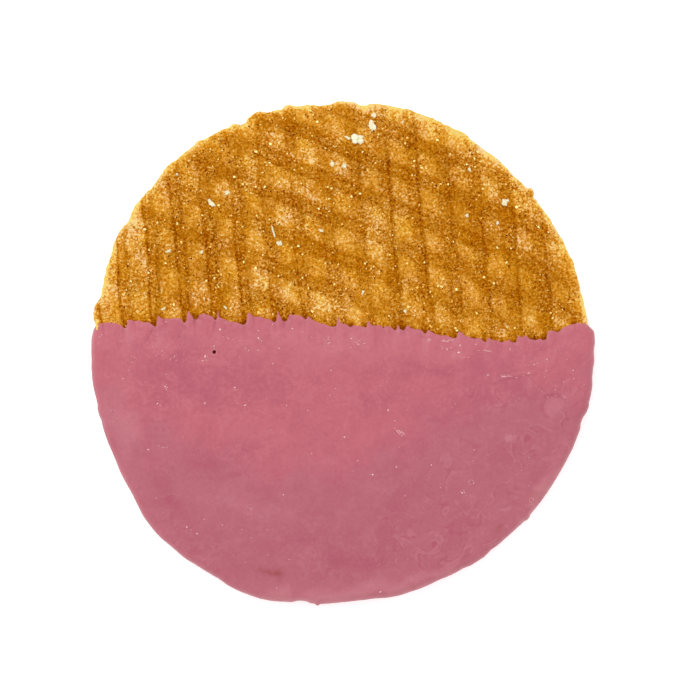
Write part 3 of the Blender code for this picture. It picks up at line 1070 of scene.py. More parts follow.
@dataclass
class SyrupLayer:
    """The caramel between the wafers: a disc with a swelling rim that squeezes out unevenly."""

    node: str
    outline: Outline
    columns: int = 720
    inset: float = 0.75 * MM
    swell: float = 0.35 * MM
    overlap: float = 0.34 * MM  # how far it reaches up and down to meet both wafers

    def build(self) -> bpy.types.Object:
        """Builds the layer as rings: from the middle of its top, over the rim, to the middle below."""
        low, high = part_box(self.node)
        bottom, top = low.z - self.overlap, high.z + self.overlap
        angle = np.linspace(0, 2 * math.pi, self.columns, endpoint=False)[None, :]
        x, y = polar(self.outline.at(angle), angle)
        reach = self.outline.at(angle) - self.inset + 0.35 * MM * fractal_noise(x, y, 5 * MM, 61, 3)
        turn = np.linspace(-90, 90, 13)[:, None]
        sag = 0.3 * np.sin(2 * np.radians(turn)) + 0 * angle
        out = self.swell * (np.cos(np.radians(turn)) + 0.25 * sag) * (1 + 0.5 * smooth_noise(x, y, 3 * MM, 62))
        rounded = (reach + out, top + (bottom - top) * (turn + 90) / 180 + 0 * angle)
        flat = np.array([0.0, 0.5, 0.96])[:, None]
        upper = (flat * reach, top + 0 * flat * reach)
        lower = (flat[::-1] * reach, bottom + 0 * flat * reach)
        radius = np.concatenate([upper[0], rounded[0], lower[0]])
        z = np.concatenate([upper[1], rounded[1], lower[1]])
        px, py = polar(radius, angle + 0 * radius)
        return closed_skin("syrup_layer", np.stack([px, py, z], axis=-1), {})


# --------------------------------------------------------------------------- chocolate


@dataclass
class ChocolateCoat:
    """The dipped coat: a shell from the ragged edge, over the face and round the rim, to the underside."""

    node: str
    outline: Outline
    dip: DipEdge
    wafer: Wafer
    columns: int = 620
    face_rows: int = 104
    thickness: float = 0.8 * MM
    lip: float = 0.16 * MM
    lip_width: float = 0.3 * MM
    slope_width: float = 7.0 * MM
    outset: float = 1.2 * MM
    shoulder: float = 1.9 * MM
    drop: float = 2.4 * MM
    foot: float = 0.18 * MM
    end_length: float = 2.4 * MM
    row_growth: float = 1.4
    bulges: tuple[tuple[float, float, float], ...] = (
        (174.0, -0.25, 2.0),
        (193.5, 0.25, 1.5),
        (214.5, -0.2, 3.5),
        (186.5, 0.25, 4.0),
        (207.0, -0.25, 7.0),
        (222.0, 0.25, 5.0),
        (238.0, -0.3, 4.5),
        (250.0, 0.5, 7.0),
        (261.5, -0.1, 2.5),
        (260.5, -0.4, 1.7),
        (264.2, 0.35, 0.4),
        (272.5, -0.3, 6.0),
        (284.5, 0.25, 5.0),
        (302.5, 0.35, 2.5),
        (305.4, 0.2, 1.2),
        (318.3, 0.28, 0.8),
        (344.2, -0.25, 1.3),
        (347.3, 0.2, 1.3),
        (355.5, -0.25, 2.2),
        (330.0, -0.15, 6.0),
        (354.0, 0.33, 7.0),
        (4.5, 0.45, 3.0),
        (7.2, 0.3, 0.8),
    )
    border_x: tuple[float, ...] = (-52, -45, -38, -25, -10, 0, 8, 20, 30, 40, 52)  # of the cooler part, millimetres
    border_y: tuple[float, ...] = (-4, -10, -18, -22, -25, -27, -19, -12, -8, -5, -2)
    patches: tuple[tuple[float, float, float, float, float, float, float], ...] = (
        # x, y, half length, half width, turn in degrees, how much darker and how much paler
        (-30.0, -4.0, 12.0, 6.0, -10, 0.45, 0.0),
        (-41.0, 4.0, 4.0, 2.0, 0, 0.35, 0.0),
        (-12.0, -8.0, 8.0, 5.0, 30, 0.15, 0.0),
        (7.3, -10.3, 5.0, 2.5, 20, 0.3, 0.0),
        (18.0, -4.0, 12.0, 2.2, 0, 0.25, 0.0),
        (33.0, -1.0, 12.0, 2.0, 8, 0.3, 0.0),
        (-36.0, -30.0, 2.0, 5.0, 15, 0.5, 0.0),
        (-24.0, -22.0, 10.0, 2.2, 12, 0.35, 0.0),
        (-30.0, -39.0, 8.0, 3.5, -35, 0.35, 0.0),
        (-8.0, -39.0, 12.0, 3.0, 0, 0.4, 0.0),
        (10.0, -35.0, 4.0, 12.0, -20, 0.4, 0.0),
        (0.0, -43.0, 16.0, 2.5, 0, 0.35, 0.0),
        (26.0, -36.0, 7.0, 4.0, 25, 0.4, 0.0),
        (33.0, -22.0, 6.0, 3.0, 40, 0.2, 0.0),
        (41.0, -20.0, 5.0, 2.5, 60, 0.3, 0.0),
        (-40.0, -10.0, 7.0, 5.0, 0, 0.25, 0.0),
        (30.0, -9.0, 9.0, 4.0, 10, 0.3, 0.0),
        (-36.0, -29.8, 0.4, 1.4, 4, 0.9, 0.0),
        (-24.6, -25.9, 5.0, 0.35, -4, 0.6, 0.0),
        (-45.5, -13.0, 3.0, 8.0, 12, 0.0, 0.22),
        (-44.0, 0.0, 3.0, 8.0, 5, 0.0, 0.08),
        (-20.0, -31.0, 9.0, 1.2, -8, 0.0, 0.10),
        (34.7, -17.3, 1.2, 1.6, 0, 0.0, 0.35),
        (43.0, -11.0, 3.0, 4.0, 0, 0.0, 0.14),
        (40.0, -31.0, 9.0, 1.4, 62, 0.0, 0.35),
        (-2.0, -50.0, 18.0, 1.8, 2, 0.0, 0.30),
        (19.0, -46.0, 9.0, 1.3, 22, 0.0, 0.25),
        (0.0, 2.0, 22.0, 4.0, 0, 0.0, 0.10),
    )
    stains: tuple[tuple[float, float, float, float, float, float], ...] = (
        # x, y, half length, half width, turn in degrees and how brown
        (-17.5, -45.0, 4.5, 0.5, -12, 0.5),
        (-13.8, -45.7, 1.7, 0.9, -10, 0.55),
        (39.7, -29.6, 1.5, 0.7, 50, 0.6),
        (32.6, -36.4, 1.8, 0.8, 45, 0.6),
        (-1.5, -43.5, 2.0, 0.6, 0, 0.3),
    )
    hole_depth: float = 0.35 * MM
    ring: tuple[float, float, float] = (43.9 * MM, -11.1 * MM, 2.5 * MM)  # x, y and radius of a healed bubble
    left: float = field(init=False)
    right: float = field(init=False)

    def __post_init__(self) -> None:
        """Finds the directions in which the coat's edge runs out at the rim."""
        ends = []
        for angle, sign in ((math.pi, -1.0), (0.0, 1.0)):
            for _ in range(12):
                radius = float(self.outline.at(np.array(angle))) - 0.55 * MM
                level = float(self.dip.middle(np.array(radius * math.cos(angle))))
                angle = math.asin(level / radius) if sign > 0 else math.pi - math.asin(level / radius)
            ends.append(angle)
        self.left, self.right = ends[0], ends[1] + 2 * math.pi
        self.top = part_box(self.node)[1].z

    def grown(self, angle: Array) -> Array:
        """1 along the coated rim, easing to 0 at both ends, where the coat thins out."""
        along = np.minimum(angle - self.left, self.right - angle) * self.outline.radius
        return rise(along, -0.2 * MM, self.end_length)

    def rim(self, angle: Array) -> Array:
        """Radius of the coated rim."""
        grown = self.grown(angle)
        x, y = polar(self.outline.at(angle), angle)
        waves = self.outline.bulges(angle, self.bulges) + 0.07 * MM * fractal_noise(x, y, 4 * MM, 71, 3)
        return self.outline.at(angle) + 0.12 * MM + grown * (self.outset - 0.12 * MM + waves)

    def surface(self, x: Array, y: Array) -> Array:
        """The z of the coat's upper face.

        At the ragged edge it starts just under the wafer's skin and rises in a small rounded lip.
        It then thickens over a few millimetres, while the lattice under it fades from view. Broad
        swells and fainter ripples are smooth noise, and the pinhole sinks in.
        """
        inside = np.maximum(self.dip.away(x, y), 0)
        round_lip = self.lip * np.sqrt(1 - (1 - np.clip(inside / self.lip_width, 0, 1)) ** 2)
        body = (self.thickness - self.lip) * rise(inside, 0.0, self.slope_width)
        under = self.wafer.relief(x, y, fine=False)
        fading = 0.10 + 0.25 * bump(inside, 3.0 * MM) + 0.65 * bump(inside, 0.8 * MM)
        swell = 0.13 * MM * smooth_noise(x, y, 14 * MM, 72) + 0.05 * MM * fractal_noise(x, y, 5 * MM, 73)
        ripples = 0.018 * MM * fractal_noise(x, y, 1.8 * MM, 74)
        rest = (swell + ripples) * rise(inside, 0.2 * MM, 5 * MM)
        hole_x, hole_y, _ = ChocolateFinish.pinhole
        hole = self.hole_depth * bump(np.hypot(x - hole_x, y - hole_y), ChocolateFinish.pinhole_radius)
        return self.wafer.levels[1] - 0.06 * MM + under * fading + round_lip + body + rest - hole

    def build(self) -> bpy.types.Object:
        """Builds the coat.

        For each column a ruled line crosses the face from the ragged edge to the shoulder, with
        rows that grow wider. The rim's section leads down to a flat foot. Lines across the
        underside, up round its own edge and back inside close the loop.
        """
        angle = (self.left + (self.right - self.left) * np.linspace(0, 1, self.columns))[:, None]
        grown, rim = self.grown(angle), self.rim(angle)
        shoulder = 0.65 * MM + (self.shoulder - 0.65 * MM) * grown
        drop = 0.6 * MM + (self.drop - 0.6 * MM) * grown
        corner = np.stack(polar(rim - shoulder, angle), axis=-1)
        edge = self.edge_points(corner[0, 0, 0], corner[-1, 0, 0])

        t = (np.exp(self.row_growth * np.linspace(0, 1, self.face_rows)) - 1) / (math.exp(self.row_growth) - 1)
        face = edge[:, None, :] + (corner - edge[:, None, :]) * t[None, :, None]
        face_z = self.surface(face[..., 0], face[..., 1])
        corner_z = face_z[:, -1:]

        turn = np.radians(np.linspace(0, 90, 13))[None, 1:]
        round_out = shoulder * (np.sin(turn) - 1)
        round_z = corner_z - drop * (1 - np.cos(turn))
        base = 1.0 * MM * (1 - grown)
        fall = np.linspace(0, 1, 10)[None, 1:]
        waist = -0.22 * MM * np.sin(math.pi * np.minimum(fall * 1.25, 1)) + self.foot * rise(fall, 0.6, 1.0)
        side_out = waist * grown
        side_z = round_z[:, -1:] + (base + 0.45 * MM - round_z[:, -1:]) * fall
        toe = np.radians(np.linspace(0, 90, 6))[None, 1:]
        toe_out = self.foot * grown - 0.45 * MM * (1 - np.cos(toe))
        toe_z = base + 0.45 * MM * (1 - np.sin(toe))
        out = np.concatenate([round_out, side_out, toe_out], axis=1)
        skirt_z = np.concatenate([round_z, side_z, toe_z], axis=1)
        skirt = np.stack(polar(rim + out, angle + 0 * out), axis=-1)

        below_x = edge[:, 0]
        below_y = self.dip.middle(below_x) + 0.9 * MM * fractal_noise(below_x, 0 * below_x, 6 * MM, 75)
        ends = rise(np.minimum(below_x - below_x[0], below_x[-1] - below_x), 0.0, 4 * MM)
        below = np.stack([below_x, below_y], axis=-1)[:, None, :]
        toe_end = skirt[:, -1:, :]
        below = toe_end + (below - toe_end) * ends[:, None, None]
        s = np.linspace(0, 1, 18)[None, 1:, None]
        under = toe_end + (below - toe_end) * s
        under_z = base + 0 * s[..., 0]
        lift = rise(s[..., 0], 0.9, 1.0) * 1.2 * MM
        under_z = under_z + lift * grown

        inner_rim = self.outline.at(angle) - 0.7 * MM
        inner = np.stack(polar(inner_rim, angle), axis=-1)
        q = np.linspace(0, 1, 6)[None, :, None]
        inner_low = below + (inner - below) * q
        inner_high = inner + (edge[:, None, :] - inner) * q
        inner_low_z = base + 1.35 * MM + 0 * q[..., 0]
        high_z = self.wafer.surface(edge[:, :1], edge[:, 1:]) - 0.4 * MM
        inner_high_z = 0 * q[..., 0] + high_z

        plan = np.concatenate([face, skirt, under, inner_low, inner_high], axis=1)
        z = np.concatenate([face_z, skirt_z, under_z, inner_low_z, inner_high_z], axis=1)
        x, y = plan[..., 0], plan[..., 1]
        z = z + self.dimples(x, y) * (z > 5 * MM) * (np.arange(z.shape[1]) < self.face_rows)
        return closed_skin("pink_chocolate_coat", np.stack([x, y, z], axis=-1), self.tints(x, y))

    def edge_points(self, start: float, end: float) -> Array:
        """Points of the ragged edge from x = start to x = end, evenly spaced along it."""
        x = np.linspace(start, end, 12000)
        y = self.dip.height(x)
        length = np.concatenate([[0], np.cumsum(np.hypot(np.diff(x), np.diff(y)))])
        places = np.interp(np.linspace(0, length[-1], self.columns), length, x)
        return np.stack([places, self.dip.height(places)], axis=-1)

    def dimples(self, x: Array, y: Array) -> Array:
        """Craters, creases and the pinhole, as heights over the face."""
        total = np.zeros_like(x)
        for cx, cy, radius, depth in (
            (-26.8, 0.3, 0.45, 0.45),
            (43.7, -10.3, 2.1, 0.08),
            (-19.3, -31.9, 0.8, 0.1),
            (24.0, 0.9, 0.9, 0.06),
        ):
            away = np.hypot(x - cx * MM, y - cy * MM)
            ring = bump(away - radius * MM, 0.3 * radius * MM)
            total = total + depth * MM * (0.5 * ring - bump(away, 0.7 * radius * MM))
        for ax, ay, bx, by, height in (
            (31.4, -5.9, 39.7, -4.1, 0.09),
            (36.4, -27.6, 41.8, -29.6, 0.08),
            (10.9, -15.6, 12.6, -17.4, 0.12),
            (19.0, 1.2, 26.0, 0.7, 0.04),
        ):
            along = ((x / MM - ax) * (bx - ax) + (y / MM - ay) * (by - ay)) / ((bx - ax) ** 2 + (by - ay) ** 2)
            t = np.clip(along, 0, 1)
            away = np.hypot(x / MM - ax - t * (bx - ax), y / MM - ay - t * (by - ay) - 0.9 * np.sin(math.pi * t) * 0.4)
            total = total + height * MM * (bump(away, 0.35) - 0.6 * bump(away - 0.7, 0.35))
        return total

    def tints(self, x: Array, y: Array) -> dict[str, Array]:
        """Where the coat is cooler, paler, darker, brown, scratched or covered with a net of lines.

        A soft border crosses the coat, cooler below it. It is paler along its ragged edge; a painted
        highlight makes it paler round its rim and on streaks that run down from the spikes, and painted
        shade makes it darker just below the bare fingers and along one side of a healed bubble's edge.
        Soft ellipses, all bent by the same noise, add the patches. The net marks where painted creases
        show: painted shade with a painted highlight beside it.
        """
        border = np.interp(x / MM, self.border_x, self.border_y) * MM
        cool = rise(border - y + 6 * MM * fractal_noise(x, y, 8 * MM, 76), -9 * MM, 9 * MM)
        inside = np.maximum(self.dip.away(x, y), 0)
        angle = np.arctan2(y, x)
        out = self.rim(np.where(angle < math.radians(60), angle + 2 * math.pi, angle)) - np.hypot(x, y)
        # Near the rim the coat is kept warm, and below it is painted paler: a painted highlight on the rounded rim.
        cool = cool * (1 - 0.9 * np.exp(-np.maximum(out, 0) / (1.0 * MM)))
        # Painted highlight on streaks below the spikes, where the coat lies over the ridges.
        streaks = self.dip.spikes_at(x) * np.exp(-inside / (2.2 * MM))
        pallor_and_highlight = 0.32 * np.exp(-inside / (0.35 * MM)) + 0.14 * streaks
        # Painted highlight round the rim.
        pallor_and_highlight = pallor_and_highlight + 0.36 * np.exp(-np.maximum(out, 0) / (0.9 * MM)) * (0.8 + 0.4 * smooth_noise(x, y, 6 * MM, 79))
        # Painted shade on the coat just below the bare fingers.
        shade = 0.4 * self.dip.fingers_at(x) * bump(inside - 0.3 * MM, 0.9 * MM)
        bent_x = x + 2.2 * MM * fractal_noise(x, y, 7 * MM, 77)
        bent_y = y + 2.2 * MM * fractal_noise(x, y, 7 * MM, 78)
        for px, py, half_x, half_y, turn, darker, paler in self.patches:
            right, up = bent_x / MM - px, bent_y / MM - py
            cos, sin = math.cos(math.radians(turn)), math.sin(math.radians(turn))
            along, across = (right * cos + up * sin) / half_x, (up * cos - right * sin) / half_y
            near = np.exp(-((along**2 + across**2) ** 1.5))
            shade, pallor_and_highlight = shade + darker * near, pallor_and_highlight + paler * near
        stain = np.zeros_like(x)
        for px, py, half_x, half_y, turn, brown in self.stains:
            right, up = x / MM - px, y / MM - py
            cos, sin = math.cos(math.radians(turn)), math.sin(math.radians(turn))
            along, across = (right * cos + up * sin) / half_x, (up * cos - right * sin) / half_y
            stain = stain + brown * np.exp(-((along**2 + across**2) ** 1.5)) * (1 + 0.5 * fractal_noise(x, y, 1.2 * MM, 91))
        # Painted shade along one side of the healed bubble's edge, with a slightly paler floor.
        beyond = np.hypot(x - self.ring[0], y - self.ring[1]) - self.ring[2]
        shaded_side = rise(x - self.ring[0] - 0.6 * (y - self.ring[1]), 1.4 * MM, -0.6 * MM)
        shade = shade + 1.3 * bump(beyond, 0.38 * MM) * shaded_side
        pallor_and_highlight = pallor_and_highlight + 0.06 * rise(-beyond, 0.0, 0.7 * MM)
        scuff = 0.55 * bump(inside - 2.0 * MM, 2.2 * MM) * rise(smooth_noise(x, y, 6 * MM, 89), -0.1, 0.6)
        # Where the painted creases show.
        net = rise(x - 0.5 * y, 14 * MM, 44 * MM) + 0.3 * rise(-y, 20 * MM, 34 * MM) + 0.03
        net = np.clip(net * (0.7 + 0.5 * fractal_noise(x, y, 9 * MM, 90, 2)), 0, 1)
        return {
            "cool": cool,
            "pallor_and_highlight": np.clip(pallor_and_highlight, 0, 1),
            "shade": np.clip(shade, 0, 1),
            "scuff": scuff,
            "stain": np.clip(stain, 0, 1),
            "net": net * rise(inside, 5 * MM, 9 * MM),
        }


# --------------------------------------------------------------------------- small things on top


@dataclass(frozen=True)
class Pebble:
    """The shape behind each small bit: a ball of rings, roughened, with a pole at each end."""

    rings: int = 2
    spokes: int = 6

    def points(self, rng: np.random.Generator, count: int, roughness: float) -> Array:
        """Unit balls as rings of spokes between two poles, each point moved in or out at random."""
        lift = np.linspace(-90, 90, self.rings + 2)[1:-1]
        level, turn = np.meshgrid(np.radians(lift), np.linspace(0, 2 * math.pi, self.spokes, endpoint=False), indexing="ij")
        ball = np.stack([np.cos(level) * np.cos(turn), np.cos(level) * np.sin(turn), np.sin(level)], axis=-1)
        ball = np.concatenate([[[0, 0, -1.0]], ball.reshape(-1, 3), [[0, 0, 1.0]]])
        return ball[None] * (1 + roughness * rng.uniform(-1, 1, (count, len(ball), 1)))

    def faces(self) -> Array:
        """Triangles over the points, which face outwards."""
        ring = 1 + np.arange(self.rings * self.spokes).reshape(self.rings, self.spokes)
        after = np.roll(ring, -1, axis=1)
        top = ring[-1].max() + 1
        bands = [
            np.stack([np.zeros(self.spokes, int), after[0], ring[0]], axis=-1),
            np.stack([ring[-1], after[-1], np.full(self.spokes, top)], axis=-1),
        ]
        for low, low_after, high, high_after in zip(ring[:-1], after[:-1], ring[1:], after[1:]):
            bands.append(np.stack([low, low_after, high_after], axis=-1))
            bands.append(np.stack([low, high_after, high], axis=-1))
        return np.concatenate(bands)


def scattered(
    name: str,
    shape: Pebble,
    centres: Array,
    sizes: Array,
    turns: Array,
    tones: Array,
    seed: int,
    roughness: float,
    angular: bool = False,
) -> bpy.types.Object:
    """Many small bits as one mesh.

    Args:
        name: the object's name.
        shape: the ball that each bit is made from.
        centres: where the bits lie, of shape (bits, 3).
        sizes: half lengths along each bit's own axes, of shape (bits, 3).
        turns: how far each bit is turned about the vertical, in radians.
        tones: each bit's own lightness, from 0 to 1.
        seed: picks the random roughness.
        roughness: how far a point may move in or out, as a part of the radius.
        angular: whether the bits show their facets.

    Returns:
        The linked object, with "tone" stored on its points.
    """
    balls = shape.points(np.random.default_rng(seed), len(centres), roughness) * sizes[:, None, :]
    cos, sin = np.cos(turns)[:, None], np.sin(turns)[:, None]
    x = balls[..., 0] * cos - balls[..., 1] * sin
    y = balls[..., 0] * sin + balls[..., 1] * cos
    points = np.stack([x, y, balls[..., 2]], axis=-1) + centres[:, None, :]
    faces = shape.faces()[None] + (np.arange(len(centres)) * points.shape[1])[:, None, None]
    mesh = mesh_of(name, points.reshape(-1, 3), [faces.reshape(-1, 3)])
    if angular:
        mesh.shade_flat()
    layer = mesh.attributes.new("tone", "FLOAT", "POINT")
    layer.data.foreach_set("value", np.repeat(tones, points.shape[1]).astype(np.float32))
    return linked(name, mesh)


@dataclass
class Toppings:
    """Loose bits on the bare wafer, and bubbles in the chocolate."""

    wafer: Wafer
    coat: ChocolateCoat
    crystals: int = 1500
    crumbs: int = 900
    bubbles: int = 230
    swarms: tuple[tuple[float, float, float, float, int, float], ...] = (
        # x, y, half length, half width, how many, and how long each is for its width
        (-50.3, 3.5, 0.6, 0.8, 9, 1.0),
        (-38.8, 0.0, 1.8, 1.6, 16, 1.0),
        (-34.5, -0.9, 2.4, 0.9, 14, 1.0),
        (-43.4, -1.4, 1.2, 1.2, 6, 1.0),
        (-28.6, -0.6, 0.5, 1.2, 8, 1.0),
        (-26.9, 1.3, 0.5, 0.4, 5, 1.0),
        (-23.6, 3.1, 1.4, 0.5, 6, 1.4),
        (-20.6, 1.3, 0.9, 0.5, 5, 1.0),
        (-17.2, 2.8, 0.7, 0.5, 6, 1.2),
        (-3.2, 2.7, 1.0, 1.3, 9, 1.3),
        (2.9, 2.3, 2.0, 0.9, 18, 2.0),
        (18.0, 2.8, 1.6, 0.3, 6, 2.6),
        (22.4, 1.0, 2.4, 0.7, 14, 1.4),
        (21.6, 2.6, 1.6, 0.2, 8, 4.0),
        (30.0, 0.6, 1.3, 0.1, 4, 4.0),
        (40.0, -2.0, 1.5, 1.5, 6, 1.5),
        (-37.0, -6.9, 1.0, 0.8, 9, 1.0),
        (-22.5, -7.1, 0.5, 0.5, 4, 1.0),
        (-38.0, -19.4, 2.0, 0.4, 8, 1.2),
        (-20.4, -10.8, 0.5, 0.4, 3, 1.0),
        (6.2, -25.2, 0.5, 0.5, 4, 1.0),
        (12.0, -16.5, 0.7, 0.7, 7, 1.6),
        (-31.4, -36.8, 1.0, 0.8, 6, 1.0),
        (24.8, -29.0, 0.8, 0.8, 5, 1.0),
        (44.0, -8.0, 2.4, 3.0, 8, 1.5),
        (38.0, -24.0, 3.0, 4.0, 6, 1.3),
        (34.0, -4.7, 5.0, 0.35, 16, 2.0),
        (-38.6, -10.4, 0.5, 0.6, 4, 1.0),
        (-28.7, -10.6, 0.5, 0.8, 6, 1.0),
        (50.0, -7.0, 0.4, 2.0, 6, 1.0),
    )
    rings: tuple[tuple[float, float, float, int], ...] = (  # x, y, radius and how many bubbles
        (-24.6, 6.6, 0.25, 6),
        (-19.3, -31.9, 0.5, 9),
        (26.7, -26.8, 0.5, 9),
        (39.2, -30.5, 0.45, 8),
    )
    marks: tuple[tuple[float, float, float, float, float], ...] = (  # x, y, half length, half width and turn
        (-25.6, 5.0, 0.26, 0.24, 0),
        (-28.7, -0.6, 0.36, 0.20, 80),
        (-26.8, 1.6, 0.16, 0.16, 0),
        (-17.6, 3.2, 0.24, 0.20, 0),
        (-10.5, 5.2, 0.18, 0.16, 0),
        (-13.3, 1.1, 0.15, 0.14, 0),
        (-14.7, 6.1, 0.13, 0.13, 0),
        (-2.9, 2.2, 0.35, 0.09, 50),
        (24.1, 0.2, 0.36, 0.22, 0),
        (24.4, 1.7, 0.20, 0.16, 0),
        (21.7, 0.8, 0.16, 0.14, 0),
        (22.3, 2.8, 1.70, 0.06, 0),
        (18.0, 3.0, 0.60, 0.06, 0),
        (30.4, 0.5, 0.70, 0.07, 2),
        (34.8, 0.9, 0.60, 0.06, 88),
        (42.5, -1.2, 0.18, 0.15, 0),
        (6.2, -25.2, 0.24, 0.20, 0),
        (0.3, -17.4, 0.22, 0.18, 0),
        (-20.4, -10.8, 0.24, 0.16, 20),
        (-22.5, -7.1, 0.22, 0.16, 0),
        (-37.0, -6.9, 0.22, 0.16, 0),
        (24.8, -29.0, 0.24, 0.18, 0),
        (-32.5, -36.1, 0.22, 0.16, 0),
        (-30.4, -37.5, 0.22, 0.16, 0),
        (7.8, -49.6, 0.26, 0.16, 30),
        (11.3, -16.2, 1.10, 0.09, -48),
        (12.0, -16.4, 1.20, 0.10, -48),
        (12.6, -16.6, 0.80, 0.07, -48),
        (-12.4, -29.4, 0.16, 0.14, 0),
        (-6.5, -20.8, 0.13, 0.12, 0),
        (9.4, -11.8, 0.14, 0.30, 0),
        (11.1, -23.6, 0.18, 0.16, 0),
        (18.4, -23.2, 0.18, 0.15, 0),
        (-25.1, -35.7, 0.13, 0.12, 0),
        (-38.6, -10.4, 0.18, 0.18, 0),
        (-28.7, -10.3, 0.18, 0.18, 0),
        (38.6, -4.1, 0.50, 0.12, 6),
        (33.4, -4.8, 0.60, 0.09, 6),
        (-40.5, -20.0, 0.24, 0.18, 0),
    )
    chips: int = 13  # pieces in the heap that makes up one flake
    flakes: tuple[tuple[float, float, float, float, float], ...] = (  # x, y, length, width, turn in degrees
        (2.9, 44.6, 2.5, 1.7, 10),
        (1.0, 44.9, 1.3, 0.5, 170),
        (6.0, 47.5, 1.2, 2.4, 12),
        (6.4, 49.6, 0.9, 0.8, 40),
        (33.7, 31.5, 1.3, 1.3, 0),
        (-24.1, 33.6, 1.1, 0.9, 20),
        (-27.5, 31.3, 1.7, 0.9, -50),
        (0.2, 39.2, 1.0, 0.8, -30),
        (-2.3, 39.6, 0.9, 0.8, 60),
        (-13.3, 23.0, 1.0, 0.9, 0),
        (-14.6, 25.7, 2.6, 0.35, -74),
        (-36.4, 21.3, 1.2, 0.5, 20),
        (-29.5, 21.1, 1.0, 0.6, 50),
        (-4.6, 25.7, 0.8, 0.7, 0),
        (-37.4, 9.3, 1.0, 0.45, 25),
        (-24.5, 9.6, 0.8, 0.4, -40),
        (25.8, 28.8, 0.7, 0.6, 10),
        (32.2, 27.2, 0.5, 0.8, -20),
        (26.4, 38.2, 0.5, 0.8, 20),
        (12.9, 8.8, 0.7, 0.6, 0),
        (4.1, 12.7, 0.5, 0.9, -20),
        (-34.6, 37.3, 0.5, 0.5, 0),
        (12.5, 48.2, 0.5, 0.5, 0),
    )

    def spots(self, rng: np.random.Generator, count: int) -> tuple[Array, Array]:
        """Random places on the bare wafer, thicker on ridges, in patches and on the left."""
        x = rng.uniform(-51, 51, 16 * count) * MM
        y = rng.uniform(2, 52, 16 * count) * MM
        on_face = np.hypot(x, y) < self.wafer.outline.at(np.arctan2(y, x)) - 0.7 * MM
        bare = self.coat.dip.away(x, y, 0.6 * MM, 0.2 * MM) < -0.2 * MM
        ridge = self.wafer.lattice.press(x, y, self.wafer.seed).ridge
        crowd = 0.22 + 0.45 * ridge + 0.5 * fractal_noise(x, y, 5 * MM, 82) - 0.12 * x / (50 * MM)
        kept = np.flatnonzero(on_face & bare & (rng.uniform(0, 1, len(x)) < crowd))[:count]
        return x[kept], y[kept]

    def crystal_places(self) -> tuple[Array, Array, Array]:
        """The x, y and mean half size of each sugar crystal."""
        rng = np.random.default_rng(81)
        x, y = self.spots(rng, self.crystals)
        return x, y, (0.08 + 0.18 * rng.uniform(0, 1, len(x)) ** 4) * MM

    def sugar(self) -> bpy.types.Object:
        """Sugar crystals and pale crumbs, bright enough to stand in for their glints as well: a painted highlight."""
        x, y, size = self.crystal_places()
        rng = np.random.default_rng(80)
        sizes = size[:, None] * rng.uniform(0.6, 1.5, (len(x), 3)) * np.array([1, 1, 0.4])
        centres = np.stack([x, y, self.wafer.surface(x, y) + 0.2 * sizes[:, 2]], axis=-1)
        turns = rng.uniform(0, math.pi, len(x))
        tones = np.clip(size / (0.25 * MM) - 0.5 + rng.uniform(-0.2, 0.6, len(x)), 0, 1)
        return scattered("sugar_crystals_and_glints", Pebble(2, 5), centres, sizes, turns, tones, 83, 0.35, angular=True)

    def burnt_crumbs_and_shadows(self) -> bpy.types.Object:
        """Dark crumbs: loose ones, and many beside a sugar crystal, mostly below and to its right, where they stand for
        the crystal's painted shadow.
        """
        rng = np.random.default_rng(91)
        loose_x, loose_y = self.spots(rng, self.crumbs // 2)
        x, y, size = (values[: self.crumbs] for values in self.crystal_places())
        # Painted shadows: dark bits set below and to the right of the crystals.
        turn, gap = rng.uniform(-1.9, 0.6, len(x)), size + 0.1 * MM
        x = np.concatenate([x + gap * np.cos(turn), loose_x])
        y = np.concatenate([y + gap * np.sin(turn), loose_y])
        size = (0.09 + 0.13 * rng.uniform(0, 1, len(x)) ** 3) * MM
        sizes = size[:, None] * rng.uniform(0.7, 1.4, (len(x), 3)) * np.array([1, 1, 0.5])
        centres = np.stack([x, y, self.wafer.surface(x, y)], axis=-1)
        turns = rng.uniform(0, math.pi, len(x))
        return scattered("burnt_crumbs_and_shadows", Pebble(2, 5), centres, sizes, turns, rng.uniform(0, 1, len(x)), 92, 0.3)

    def wafer_flakes(self) -> bpy.types.Object:
        """The larger cream flakes of wafer, each a small heap of chips at its own place."""
        rng = np.random.default_rng(84)
        table = np.repeat(np.array(self.flakes), self.chips, axis=0)
        turn = np.radians(table[:, 4])
        along = rng.uniform(-0.34, 0.34, len(table)) * table[:, 2]
        across = rng.uniform(-0.34, 0.34, len(table)) * table[:, 3]
        x = (table[:, 0] + along * np.cos(turn) - across * np.sin(turn)) * MM
        y = (table[:, 1] + along * np.sin(turn) + across * np.cos(turn)) * MM
        share = rng.uniform(0.18, 0.36, (len(table), 2))
        height = (0.12 + 0.04 * table[:, 3]) * MM
        sizes = np.stack([table[:, 2] * MM * share[:, 0], table[:, 3] * MM * share[:, 1], height], axis=-1)
        centres = np.stack([x, y, self.wafer.surface(x, y) + height * rng.uniform(0.1, 0.7, len(x))], axis=-1)
        tones = rng.uniform(0.45, 1.1, len(x))
        return scattered("wafer_flakes", Pebble(3, 8), centres, sizes, turn, tones, 85, 0.38, angular=True)

